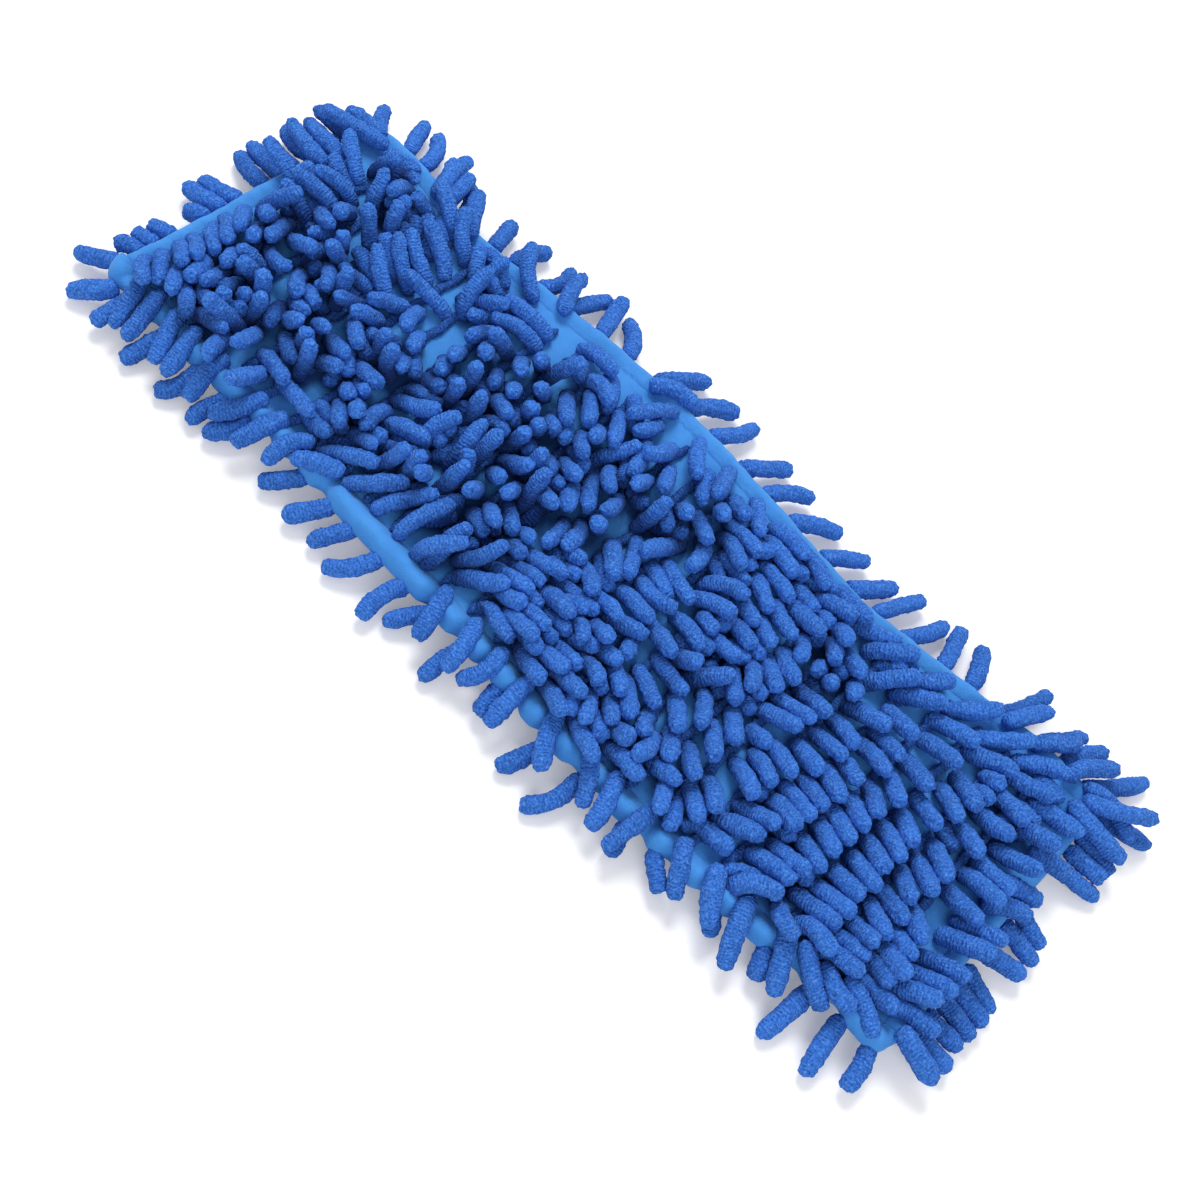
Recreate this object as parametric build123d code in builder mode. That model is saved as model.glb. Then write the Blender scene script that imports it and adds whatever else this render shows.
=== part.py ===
from build123d import *
import math
import os

# A chenille refill for a flat mop. Its padded cloth carries rows of chenille strands on the face,
# a fringe in two ranks round the edge, and two pockets on the back that take the ends of the
# mop's frame. It lies with the strands up: X runs along it, Y across it, and z = 0 is the floor.

os.makedirs("parts", exist_ok=True)

# Padded cloth
pad_length = 450.0
pad_width = 150.0
corner_radius = 8.0
face_thickness = 1.0
wadding_thickness = 3.0
backing_thickness = 1.0

# Tape folded round the edge
tape_width = 7.5
tape_thickness = 0.8
tape_bevel = 0.7

# Pockets for the frame, open towards the middle of the pad
pocket_depth = 115.0
pocket_clear_height = 6.8
pocket_cloth = 1.0
pocket_seam = 6.0
pocket_slope = 45.0
pocket_inset = 2.0
hem_width = 11.0
hem_cloth = 0.8
hem_play = 0.3

# Chenille strands
strand_diameter = 8.2
strand_sides = 5
tip_length = 3.0
header_thickness = 1.0
header_margin = 0.4

# Pile
pile_strand_length = 25.0
pile_side_gap = 1.7
pile_row_gap = 0.7

# Lean of the pile: a slope is a strand's run along the cloth over its rise
lie_angle = 34.0
left_end_slope = -1.05
combed_slope = -0.65
combed_middle = 55.0
combed_half_span = 150.0

# Fringe
upper_fringe_length = 29.0
lower_fringe_length = 26.0
fringe_pitch = 16.4
fringe_root_inset = 3.5
fringe_corner_space = 20.0
fringe_play = 0.1
upper_header_width = 2.5
fan_angles = (32.0, 62.0)
front_sway = (-14.0, 6.0)
back_sway = (-16.0, 24.0)
end_sway = (0.0, 0.0)

# Heights of the layers
pocket_floor_top = hem_cloth + pocket_cloth
hem_top = pocket_floor_top + hem_cloth
backing_bottom = pocket_floor_top + pocket_clear_height
wadding_bottom = backing_bottom + backing_thickness
face_bottom = wadding_bottom + wadding_thickness
face_top = face_bottom + face_thickness
tape_bottom = backing_bottom - tape_thickness
tape_top = face_top + tape_thickness

# A long side runs round its corners, and an end fits between the long sides
LEFT, RIGHT, FRONT, BACK = (-1, 0), (1, 0), (0, -1), (0, 1)
corner_x = pad_length / 2 - corner_radius
corner_y = pad_width / 2 - corner_radius
end_half_width = pad_width / 2 - max(corner_radius, tape_width)
strand_radius = strand_diameter / 2
strand_flat = strand_radius * math.cos(math.pi / strand_sides)


def save(piece, name):
    """Label a finished piece with its name and write its file."""
    piece.label = name
    export_step(piece, f"parts/{name}.step")


def pad_outline(offset=0.0, mode=Mode.ADD):
    """Draw the pad's outline, moved outwards by an offset, in the sketch that is open."""
    radius = max(corner_radius + offset, tape_thickness)
    RectangleRounded(pad_length + 2 * offset, pad_width + 2 * offset, radius, mode=mode)


def layer(name, bottom, thickness):
    """A layer of the padded cloth, cut to the pad's outline."""
    with BuildPart() as sheet:
        with BuildSketch(Plane.XY.offset(bottom)):
            pad_outline()
        extrude(amount=thickness)
    save(sheet.part, name)


def ring(outer, inner, bottom, top):
    """A flat ring that follows the pad's outline, from one offset of it to another."""
    with BuildPart() as band:
        with BuildSketch(Plane.XY.offset(bottom)):
            pad_outline(outer)
            pad_outline(inner, mode=Mode.SUBTRACT)
        extrude(amount=top - bottom)
    return band.part


def side_share(band, side):
    """The share of a ring that belongs to one side of the pad."""
    with BuildPart() as share:
        add(band)
        if side in (FRONT, BACK):
            with Locations((0, side[1] * (end_half_width + pad_width / 2))):
                Box(2 * pad_length, pad_width, 2 * pad_width, mode=Mode.INTERSECT)
        else:
            with Locations((side[0] * pad_length / 2, 0)):
                Box(pad_width, 2 * end_half_width, 2 * pad_width, mode=Mode.INTERSECT)
    return share.part


# Padded cloth, from the back to the face
layer("backing_cloth", backing_bottom, backing_thickness)
layer("wadding", wadding_bottom, wadding_thickness)
layer("face_cloth", face_bottom, face_thickness)

# Edge tape: a channel folded over the layers, in four lengths that butt at the corners
with BuildPart() as tape:
    add(ring(tape_thickness, -tape_width, tape_bottom, tape_top))
    outline = tape.faces().sort_by(Axis.Z)[-1].outer_wire().edges()
    outline += tape.faces().sort_by(Axis.Z)[0].outer_wire().edges()
    chamfer(outline, length=min(tape_bevel, tape_thickness))
    with BuildSketch(Plane.XY.offset(backing_bottom)):
        pad_outline()
    extrude(amount=face_top - backing_bottom, mode=Mode.SUBTRACT)

save(side_share(tape.part, FRONT), "edge_tape_front")
save(side_share(tape.part, BACK), "edge_tape_back")
save(side_share(tape.part, LEFT), "edge_tape_left")
save(side_share(tape.part, RIGHT), "edge_tape_right")

# Pockets: trays of cloth sewn under the backing along three sides
slope = math.radians(pocket_slope)
wall_run = pocket_cloth / math.cos(slope)
cavity_run = pocket_clear_height * math.tan(slope)
tray_drop = backing_bottom - hem_cloth
tray_run = tray_drop * math.tan(slope)
pocket_end = pad_length / 2 - tape_width - pocket_inset
pocket_mouth = pocket_end - pocket_depth
pocket_width = pad_width - 2 * (tape_width + pocket_inset)
tray_width = pocket_width - 2 * pocket_seam
tray_length = pocket_depth + tray_run
hem_length = tray_width - 2 * (wall_run + cavity_run + hem_play)


def pocket(name, side):
    """The tray of one pocket: its seam all round, its sloping walls and its floor."""
    seam_middle = side * (pocket_mouth + pocket_depth / 2)
    tray_middle = side * (pocket_end - pocket_seam - tray_length / 2)
    with BuildPart() as tray:
        with BuildSketch(Plane.XY.offset(backing_bottom)):
            with Locations((tray_middle, 0)):
                Rectangle(tray_length, tray_width)
        extrude(amount=-tray_drop, taper=pocket_slope)
        with BuildSketch(Plane.XY.offset(backing_bottom)):
            with Locations((seam_middle, 0)):
                Rectangle(pocket_depth, pocket_width)
        extrude(amount=-pocket_cloth)
        with BuildSketch(Plane.XY.offset(backing_bottom)):
            with Locations((tray_middle, 0)):
                Rectangle(tray_length - 2 * wall_run, tray_width - 2 * wall_run)
        extrude(amount=-pocket_clear_height, taper=pocket_slope, mode=Mode.SUBTRACT)
        with Locations((seam_middle, 0, 0)):
            Box(pocket_depth, pad_width, 2 * backing_bottom, mode=Mode.INTERSECT)
    save(tray.part, name)


def pocket_hem(name, side):
    """The hem folded over the floor of a pocket at its mouth."""
    fold_start = pocket_mouth - hem_cloth
    with BuildPart() as hem:
        with Locations((side * (fold_start + hem_width / 2), 0, hem_top / 2)):
            Box(hem_width, hem_length, hem_top)
        with Locations((side * (pocket_mouth + hem_width / 2), 0, hem_top / 2)):
            Box(hem_width, hem_length, pocket_cloth, mode=Mode.SUBTRACT)
    save(hem.part, name)


pocket("pocket_left", -1)
pocket("pocket_right", 1)
pocket_hem("pocket_hem_left", -1)
pocket_hem("pocket_hem_right", 1)


def direction(azimuth, elevation):
    """Unit vector at an azimuth from +X and an elevation above the floor, in degrees."""
    flat = math.cos(math.radians(elevation))
    rise = math.sin(math.radians(elevation))
    return Vector(
        flat * math.cos(math.radians(azimuth)), flat * math.sin(math.radians(azimuth)), rise
    )


def strand_place(foot, azimuth, elevation):
    """Where a strand stands: its foot, with its axis along the plane's normal."""
    level = direction(azimuth + 90, 0)
    return Location(Plane(origin=foot, x_dir=level, z_dir=direction(azimuth, elevation)))


def chenille_strand(length, buried):
    """A strand along +Z with a blunt tip, that starts the buried length under the origin.

    One of its flat sides faces down, so that a level strand lies on it.
    """
    with BuildPart() as strand:
        with BuildSketch(Plane.XY.offset(-buried)):
            RegularPolygon(strand_radius, strand_sides, rotation=270 - 180 / strand_sides)
        extrude(amount=length + buried - tip_length)
        loft(sections=[strand.faces().sort_by(Axis.Z)[-1], Vertex(0, 0, length)])
    return strand.part


# Pile: rows of strands on header tapes sewn across the face cloth
lie = math.radians(lie_angle)
right_end_slope = 1 / math.tan(lie)
inner_x = pad_length / 2 - fringe_root_inset
inner_y = pad_width / 2 - fringe_root_inset
last_row = inner_x - pile_strand_length * math.cos(lie) - pile_side_gap
row_count = int(2 * last_row * math.sin(lie) / (strand_diameter + pile_row_gap)) + 1
row_pitch = 2 * last_row / (row_count - 1)
strand_pitch = strand_diameter + pile_side_gap
fringe_top = tape_top + header_thickness + strand_diameter
side_reach = abs(combed_slope) * (fringe_top - face_top)
side_space = side_reach + strand_radius * math.hypot(1, combed_slope) + fringe_play
half_count = int((inner_y - side_space) / strand_pitch)
row_header_width = strand_diameter / math.sin(lie) + header_margin
row_header_end = strand_radius * math.hypot(1, combed_slope) + header_margin
row_header_length = 2 * (half_count * strand_pitch + row_header_end)
pile_buried = strand_radius / math.tan(lie)
header_top = face_top + header_thickness
pile_strand = chenille_strand(pile_strand_length, pile_buried)


def pile_lean(x):
    """Azimuth and elevation of the row at x.

    The rows fan out along the pad, from leaning to the left end, through upright, to lying
    flat towards the right end, and the middle of the pad is combed to the front.
    """
    along = (x + last_row) / (2 * last_row)
    slope_x = left_end_slope + (right_end_slope - left_end_slope) * along
    off_middle = min(1, abs(x - combed_middle) / combed_half_span)
    slope_y = combed_slope * math.cos(off_middle * math.pi / 2)
    azimuth = math.degrees(math.atan2(slope_y, slope_x))
    elevation = math.degrees(math.atan2(1, math.hypot(slope_x, slope_y)))
    return azimuth, elevation


def chenille_row(name, x):
    """One row of the pile: a header tape and the strands that stand on it."""
    azimuth, elevation = pile_lean(x)
    across = [n * strand_pitch for n in range(-half_count, half_count + 1)]
    with BuildPart() as row:
        with Locations(*[strand_place((x, y, header_top), azimuth, elevation) for y in across]):
            add(pile_strand)
        split(bisect_by=Plane.XY.offset(header_top), keep=Keep.TOP)
        with Locations((x, 0, header_top - header_thickness / 2)):
            Box(row_header_width, row_header_length, header_thickness)
    save(row.part, name)


for number in range(row_count):
    chenille_row(f"chenille_row_{number + 1:02d}", number * row_pitch - last_row)

# Fringe: an upper rank on top of the edge tape and a lower one on its outer face
upper_axis = tape_top + header_thickness + strand_flat
lower_header_bottom = tape_top - strand_diameter - 2 * header_margin
lower_axis = (lower_header_bottom + tape_top) / 2
lower_droop = math.degrees(
    math.asin((lower_axis - strand_flat) / (lower_fringe_length - tip_length))
)
upper_strand = chenille_strand(upper_fringe_length, 0)
lower_strand = chenille_strand(lower_fringe_length, strand_radius)
upper_header_edge = upper_header_width - fringe_root_inset
upper_header_top = tape_top + header_thickness
lower_header_edge = tape_thickness + header_thickness
upper_header = ring(upper_header_edge, -fringe_root_inset, tape_top, upper_header_top)
lower_header = ring(lower_header_edge, tape_thickness, lower_header_bottom, tape_top)


def spread(reach, half_step):
    """Even places from -reach to reach, or the places halfway between them."""
    steps = max(1, round(2 * reach / fringe_pitch))
    if half_step:
        return [reach * (2 * n + 1 - steps) / steps for n in range(steps)]
    return [reach * (2 * n - steps) / steps for n in range(steps + 1)]


def fringe(name, side, sway, strand, header, offset, axis, droop, half_step):
    """One rank along one side, with its strands trimmed where they meet their header tape.

    A long side also has a fan of strands round each of its corners.
    """
    long_side = side in (FRONT, BACK)
    outward = math.degrees(math.atan2(side[1], side[0]))
    half_side = corner_x if long_side else corner_y
    half_other = corner_y if long_side else corner_x
    places = []
    for at in spread(half_side + corner_radius - fringe_corner_space, half_step):
        lean = sway[0] + (sway[1] - sway[0]) * (0.5 + at / (2 * half_side))
        edge = half_other + corner_radius + offset
        foot = (at, side[1] * edge, axis) if long_side else (side[0] * edge, at, axis)
        places.append(strand_place(foot, outward - side[1] * lean, -droop))
    if long_side:
        for end in (-1, 1):
            for fan_angle in fan_angles:
                azimuth = outward - side[1] * end * fan_angle
                arm = direction(azimuth, 0) * (corner_radius + offset)
                foot = (end * corner_x + arm.X, side[1] * corner_y + arm.Y, axis)
                places.append(strand_place(foot, azimuth, -droop))
    with BuildPart() as comb:
        with Locations(*places):
            add(strand)
        with BuildSketch(Plane.XY):
            pad_outline(lower_header_edge)
        extrude(amount=upper_header_top, mode=Mode.SUBTRACT)
        add(side_share(header, side))
    save(comb.part, name)


sides = {
    "front": (FRONT, front_sway),
    "back": (BACK, back_sway),
    "left": (LEFT, end_sway),
    "right": (RIGHT, end_sway),
}
for side_name, (side, sway) in sides.items():
    upper = (upper_strand, upper_header, -fringe_root_inset, upper_axis, 0)
    lower = (lower_strand, lower_header, lower_header_edge, lower_axis, lower_droop)
    fringe(f"fringe_upper_{side_name}", side, sway, *upper, half_step=False)
    fringe(f"fringe_lower_{side_name}", side, sway, *lower, half_step=True)
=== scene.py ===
import math
from contextlib import contextmanager

import bpy
import numpy as np
from mathutils import Matrix, Vector
from mathutils.kdtree import KDTree


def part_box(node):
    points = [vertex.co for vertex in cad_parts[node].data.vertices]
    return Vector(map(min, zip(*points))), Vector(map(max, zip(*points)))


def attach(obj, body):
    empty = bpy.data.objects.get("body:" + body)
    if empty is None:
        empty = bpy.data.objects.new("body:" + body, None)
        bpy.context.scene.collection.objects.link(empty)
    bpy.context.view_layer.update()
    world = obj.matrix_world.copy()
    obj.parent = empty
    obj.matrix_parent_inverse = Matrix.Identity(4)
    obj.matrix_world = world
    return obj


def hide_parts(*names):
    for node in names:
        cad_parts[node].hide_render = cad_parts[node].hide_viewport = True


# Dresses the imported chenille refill: a padded cloth with bound edges, rows of chenille strands on
# its face, a fringe in two ranks and two pockets on its back. Everything is in metres, in the
# frame's own axes: X along the refill, Y across it, and z = 0 is the floor it lies on.

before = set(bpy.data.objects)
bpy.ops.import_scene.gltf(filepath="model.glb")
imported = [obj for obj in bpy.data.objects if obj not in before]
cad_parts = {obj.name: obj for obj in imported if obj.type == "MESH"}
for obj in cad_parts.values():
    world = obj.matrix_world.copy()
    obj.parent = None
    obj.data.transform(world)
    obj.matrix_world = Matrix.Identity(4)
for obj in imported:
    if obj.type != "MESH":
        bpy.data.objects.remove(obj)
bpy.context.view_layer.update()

bl_info = {
    "name": "Chenille mop refill",
    "version": (1, 0, 0),
    "blender": (4, 5, 0),
    "location": "View3D > Sidebar > Refill",
    "description": "Builds the fabric and the strands of a flat mop's refill round its packed frame",
    "category": "Object",
}

BODY = "root"
FULL_TURN = 2 * math.pi
UPWARD = np.array([0, 0, 1.0])
SIDES = {"front": (0, -1), "back": (0, 1), "left": (-1, 0), "right": (1, 0)}
ROW_NODES = sorted(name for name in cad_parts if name.startswith("chenille_row_"))

# Heights and edges that the frame gives
pad_half_length, pad_half_width, face_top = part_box("face_cloth")[1]
back_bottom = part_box("backing_cloth")[0].z
tape_bottom, tape_top = (corner.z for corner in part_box("edge_tape_front"))
tape_proud = tape_top - face_top


# Settings


def size(name, description, default):
    """A length that a user may change."""
    return bpy.props.FloatProperty(name=name, description=description, default=default, unit="LENGTH")


def angle(name, description, degrees):
    """An angle that a user may change."""
    return bpy.props.FloatProperty(
        name=name, description=description, default=math.radians(degrees), subtype="ANGLE"
    )


def number(name, description, default):
    """A count or a plain number that a user may change."""
    kind = bpy.props.IntProperty if isinstance(default, int) else bpy.props.FloatProperty
    return kind(name=name, description=description, default=default)


def colour(name, description, default):
    """A colour that a user may change."""
    return bpy.props.FloatVectorProperty(
        name=name, description=description, default=default, subtype="COLOR"
    )


class StrandSizes(bpy.types.PropertyGroup):
    """Sizes of the chenille strands."""

    diameter: size("Diameter", "Width of a strand over its pile", 0.0082)
    pile_length: size("Pile length", "Length of a strand in the neat rows", 0.0255)
    tousled_length: size("Tousled length", "Length of a strand where the pile is tousled", 0.0295)
    strand_pitch: size("Strand pitch", "Distance between strands along a row", 0.0074)
    front_end: size("Front end", "Distance of a row's first strand from the middle", 0.0665)
    per_row: number("Strands in a row", "Places for strands on one row", 18)
    spine: size("Spine", "Width of the yarn sewn down along each row", 0.0052)
    last_row: size("Last row", "Distance of the last row from the middle", 0.19907)
    fringe_inset: size("Fringe inset", "Distance of the upper roots inside the edge", 0.0072)
    end_inset: size("End inset", "Distance of the upper roots inside the two ends", 0.0105)
    corner_radius: size("Corner radius", "Radius of the cloth's corners", 0.008)


class CombSettings(bpy.types.PropertyGroup):
    """How the strands lie and how they settle."""

    seed: number("Seed", "Seed of every random draw", 11)
    rounds: number("Rounds", "Steps of the settling", 90)
    joints: number("Points", "Points that a strand bends at", 7)
    gap: bpy.props.FloatProperty(
        name="Closeness", description="Share of a diameter that neighbours keep", default=0.93,
        subtype="FACTOR",
    )
    reach: size("Lock reach", "Distance over which a lock is felt", 0.007)


class ClothSizes(bpy.types.PropertyGroup):
    """Sizes of the cloths, tapes and seams."""

    cloth: size("Cloth", "Thickness of the face and backing", 0.001)
    tape_width: size("Tape width", "Width of the edge tape on the face", 0.0075)
    tape: size("Tape", "Thickness of the edge tape", 0.0008)
    puff: size("Puff", "How far the padding may swell between its seams", 0.0012)
    scallop: size("Scallop", "Height of the tape's swells on the front edge", 0.0044)
    stitch_pitch: size("Stitch pitch", "Distance between stitches", 0.0036)
    stitch_length: size("Stitch length", "Length of one stitch", 0.0027)
    thread: size("Thread", "Diameter of the sewing thread", 0.0004)


class FabricColours(bpy.types.PropertyGroup):
    """Colours of the fabrics, with the pile's painted shade and painted glints."""

    pile: colour("Pile", "Chenille in the light", (0.050, 0.220, 0.830))
    # Painted shade: the pile's colour deep between the strands and on the cloth under the pile, and also
    # the colour of its dark flecks
    pile_shade_and_fleck: colour("Deep pile", "Chenille low between the strands", (0.004, 0.024, 0.155))
    # Painted highlight: the pile's light flecks brighten towards this colour, more where the pile lies open
    pile_fleck_and_glint: colour("Pile flecks and glints", "Chenille where its fibres catch the light", (0.210, 0.500, 1.000))
    cloth: colour("Cloth", "Knitted cloth and tape", (0.080, 0.335, 0.820))
    cloth_shade: colour("Cloth shade", "Cloth between its threads", (0.045, 0.235, 0.670))
    thread: colour("Thread", "Sewing thread", (0.084, 0.345, 0.830))


class StageSettings(bpy.types.PropertyGroup):
    """The camera's place and the lights."""

    turn: angle("Turn", "Camera's angle round the refill", 21.31)
    height: angle("Height", "Camera's angle above the floor", 57.34)
    roll: angle("Roll", "Camera's turn about its own axis", 26.524)
    distance: size("Distance", "From the camera to its aim", 0.698)
    aim: bpy.props.FloatVectorProperty(
        name="Aim", description="Point that the camera looks at", default=(0.0214, -0.0200, 0.013),
        subtype="TRANSLATION",
    )
    lens: number("Lens", "Focal length in millimetres", 50.65)
    key_power: number("Key", "Power of the main light", 61.0)
    fill_power: number("Fill", "Power of the fill light", 28.0)
    sky: number("Sky", "Strength of the light all round", 0.54)


PROPERTY_GROUPS = {
    "refill_strands": StrandSizes,
    "refill_comb": CombSettings,
    "refill_cloth": ClothSizes,
    "refill_colours": FabricColours,
    "refill_stage": StageSettings,
}


# The lie of the pile, laid out in millimetres and degrees
PER_METRE = 1000


def in_metres(table):
    """Rows of lengths in millimetres as rows in metres."""
    return [tuple(value / PER_METRE for value in row) for row in table]


# The locks of the pile by zone, as the camera sees them: place along and across the refill, the way
# the tip points in degrees from +X, and the rise in degrees
LOCKS = {
    "left end, back": [
        (-213, 50, 160, 12), (-198, 64, 50, 55), (-183, 52, -95, 25), (-172, 47, 110, 60),
        (-225, 22, 165, 12), (-205, 24, 175, 25), (-205, 36, 170, 25), (-204, 14, 165, 20),
        (-190, 26, -80, 40), (-190, 11, -45, 25), (-178, 18, -30, 70), (-173, 8, 200, 65),
        (-160, 3, 90, 82), (-175, 35, 120, 55), (-190, 45, 130, 40), (-207, 6, 60, 45),
    ],
    "left quarter, back": [
        (-165, 66, 155, 14), (-150, 60, 150, 14), (-150, 47, 146, 12), (-131, 53, 128, 14),
        (-118, 72, 150, 14), (-152, 34, 166, 12), (-154, 26, 162, 14), (-155, 15, 155, 12),
        (-134, 26, 185, 12), (-123, 45, 110, 30), (-130, 11, -80, 25), (-128, -3, 80, 80),
        (-116, -3, 60, 82), (-117, 43, 25, 20), (-99, 55, 178, 14), (-97, 47, 178, 12),
        (-98, 36, 190, 60), (-103, 15, -60, 45), (-97, 27, -40, 45), (-92, 15, 70, 84),
        (-90, 4, 50, 84),
    ],
    "left end, front": [
        (-207, -2, -75, 55), (-199, -4, -70, 25), (-213, -14, -50, 20), (-203, -12, -40, 35),
        (-188, -16, -25, 16), (-211, -24, -20, 16), (-170, -16, -45, 16), (-165, -6, -35, 16),
        (-178, -25, 120, 75), (-190, -28, 200, 60), (-172, -34, 80, 82), (-212, -31, -45, 14),
        (-211, -40, -15, 14), (-210, -47, -22, 16), (-193, -41, -60, 22), (-192, -52, -40, 14),
        (-180, -46, 60, 80), (-175, -55, 200, 45), (-193, -62, -35, 12), (-178, -63, 5, 20),
        (-167, -64, -75, 25), (-212, -58, -40, 14), (-211, -68, -45, 12), (-199, -31, -30, 30),
        (-200, -46, -35, 20), (-201, -56, -40, 20), (-150, -3, 215, 30), (-185, -3, -10, 20),
    ],
    "left quarter, front": [
        (-158, -30, -25, 50), (-149, -31, 60, 82), (-140, -34, 90, 80), (-148, -24, -20, 50),
        (-135, -27, -18, 14), (-135, -15, -35, 14), (-121, -29, -50, 16), (-146, -42, -20, 12),
        (-144, -54, -5, 12), (-128, -57, -6, 14), (-160, -52, -50, 30), (-109, -49, -45, 14),
        (-94, -58, 42, 14), (-97, -40, -80, 16), (-94, -21, 15, 14), (-115, -10, -20, 40),
        (-108, -38, -60, 50), (-145, -65, -80, 30),
    ],
    "middle, back": [
        (-83, 33, -60, 40), (-67, 33, -30, 60), (-78, 43, -70, 60), (-67, 48, 70, 55),
        (-62, 22, -20, 75), (-75, 22, -20, 45), (-50, 54, 15, 16), (-65, 66, 5, 16), (-48, 43, -40, 16),
        (-55, 33, -55, 18), (-53, 19, 0, 60), (-55, 10, 60, 75), (-38, 35, -60, 45), (-33, 45, -45, 16),
        (-28, 66, -110, 14), (-27, 32, 75, 20), (-37, 23, -55, 30), (-32, 13, -30, 40),
        (-42, 7, 70, 82), (-80, 6, 110, 75), (-72, 10, -20, 30), (-18, 42, -70, 18), (-12, 52, -88, 30),
        (-2, 64, -60, 14), (-2, 44, -60, 30), (-7, 33, -85, 45), (10, 28, 75, 55), (14, 38, -50, 55),
        (23, 38, -40, 30), (-17, 23, -65, 28), (-18, 11, -65, 16), (-6, 15, -60, 35), (-5, 4, -60, 60),
        (-24, 3, -85, 30),
    ],
    "middle, front": [
        (-78, -20, 88, 16), (-68, -16, 104, 14), (-86, -32, 15, 14), (-70, -33, 60, 70),
        (-60, -17, 120, 70), (-48, -15, -30, 50), (-62, -5, 90, 60), (-47, -4, 20, 40),
        (-35, -1, 100, 60), (-36, -14, -85, 45), (-27, -9, -60, 35), (-58, -27, 85, 60),
        (-48, -28, -70, 45), (-36, -32, -50, 40), (-28, -25, -35, 20), (-80, -45, 60, 50),
        (-70, -41, -60, 50), (-77, -58, 45, 14), (-63, -58, 70, 12), (-53, -56, 91, 12),
        (-40, -57, 104, 12), (-24, -48, 50, 40), (-33, -61, 60, 30), (-14, -58, 30, 12),
        (-6, -33, -15, 10), (-8, -41, -5, 10), (-9, -49, 0, 10), (10, -52, 4, 10), (12, -43, 0, 10),
        (12, -32, 5, 10), (4, -66, 0, 10), (12, -58, 4, 10), (-5, -10, -55, 12), (-10, -15, -55, 14),
    ],
    "right of the middle, back": [
        (16, 4, -55, 14), (11, -6, -50, 14), (35, 9, -25, 10), (20, 18, 240, 20), (34, 28, -45, 16),
        (50, 26, 48, 20), (36, 62, -50, 14), (53, 63, -6, 12), (56, 56, -10, 10), (25, 51, -60, 50),
        (40, 49, -6, 10), (42, 40, -10, 10), (62, 46, 0, 10), (70, 64, -34, 14), (15, 67, -70, 20),
        (62, 36, -30, 12), (75, 33, -40, 10), (74, 22, -40, 10), (62, 24, -28, 14), (53, 12, 16, 10),
        (70, 13, -10, 10), (70, 3, 0, 10), (82, 42, -4, 10), (96, 48, -45, 45), (89, 54, 10, 20),
        (92, 63, -28, 12), (106, 60, 20, 14), (92, 31, -45, 8), (91, 19, -45, 8), (88, 10, -45, 8),
        (85, 1, -58, 12), (100, 39, -45, 14), (108, 27, -75, 60), (108, 41, -48, 20),
        (117, 34, -60, 45), (118, 58, 35, 18), (125, 49, 60, 18), (128, 28, 20, 16), (136, 63, 50, 14),
        (138, 52, 38, 14),
    ],
    "right of the middle, front": [
        (34, -5, -25, 10), (55, -4, -8, 10), (31, -13, 0, 14), (48, -15, -10, 20), (62, -13, 0, 60),
        (74, -14, 50, 20), (81, -6, -55, 14), (10, -23, -35, 12), (22, -25, 10, 14), (28, -36, -45, 45),
        (34, -23, 10, 20), (62, -25, -20, 12), (60, -36, -20, 12), (76, -34, -35, 10),
        (26, -43, -8, 10), (38, -42, 0, 20), (46, -45, -60, 20), (28, -52, 0, 12), (41, -51, 0, 12),
        (57, -48, -50, 10), (72, -48, -60, 10), (27, -59, 0, 14), (38, -61, 0, 12), (50, -62, -75, 20),
        (24, -66, -14, 10), (41, -70, 0, 12), (57, -57, -40, 14), (60, -69, 0, 12), (68, -60, 30, 60),
        (76, -69, 0, 12), (79, -58, -80, 30), (83, -48, -60, 20), (94, -46, -50, 10),
        (108, -50, -45, 10), (105, -59, -35, 12), (94, -31, -45, 8), (95, -19, -45, 10),
        (90, -58, 0, 16), (99, -64, -60, 14), (82, -23, -40, 10),
    ],
    "right end, back": [
        (109, 15, 0, 8), (126, 15, 0, 8), (142, 16, -5, 8), (156, 13, -42, 8), (172, 15, -16, 8),
        (191, 19, -15, 8), (208, 15, 0, 10), (210, 28, 20, 8), (212, 40, 18, 8), (194, 33, 0, 8),
        (195, 45, 0, 8), (178, 36, -18, 8), (176, 26, -24, 8), (158, 25, -5, 8), (142, 25, 0, 10),
        (140, 37, -10, 10), (159, 41, 10, 8), (157, 53, 16, 8), (177, 55, 10, 8), (197, 58, 4, 8),
        (158, 66, 38, 12), (176, 66, 38, 10), (195, 69, 20, 10), (105, 5, 10, 10), (125, 5, 5, 8),
        (138, 4, -15, 12), (154, 2, -40, 8), (171, 3, -35, 8), (189, 3, -34, 8), (208, 7, 5, 8),
        (212, 58, 20, 10),
    ],
    "right end, front": [
        (104, -3, 22, 10), (124, -6, -10, 8), (137, -6, -28, 12), (152, -8, -28, 8), (170, -6, -18, 8),
        (188, -7, -25, 8), (206, -5, 0, 8), (218, -8, 32, 10), (117, -15, -10, 8), (135, -16, -18, 14),
        (151, -17, -10, 8), (169, -16, -20, 8), (185, -16, -38, 12), (198, -25, -45, 10),
        (115, -24, -20, 8), (133, -24, -5, 8), (151, -26, -20, 8), (170, -25, -8, 8),
        (187, -27, -10, 8), (113, -33, -12, 8), (133, -34, -8, 8), (150, -37, -20, 8), (168, -35, 0, 8),
        (186, -36, -35, 8), (198, -36, -20, 20), (127, -42, 28, 10), (125, -51, 36, 10),
        (147, -46, -4, 8), (169, -45, 0, 8), (184, -46, -10, 8), (200, -46, -20, 12), (145, -55, 0, 8),
        (167, -54, -4, 8), (184, -56, -5, 8), (197, -51, 0, 14), (122, -64, 25, 10), (144, -64, 30, 10),
        (150, -72, 42, 20), (166, -66, -30, 8), (177, -68, -22, 8), (196, -69, -4, 8),
        (190, -65, 0, 12), (206, -62, 10, 12), (217, -17, 30, 10), (216, -31, 36, 10),
        (216, -40, 30, 10), (215, -50, 40, 10), (222, -57, 20, 12),
    ],
}

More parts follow.
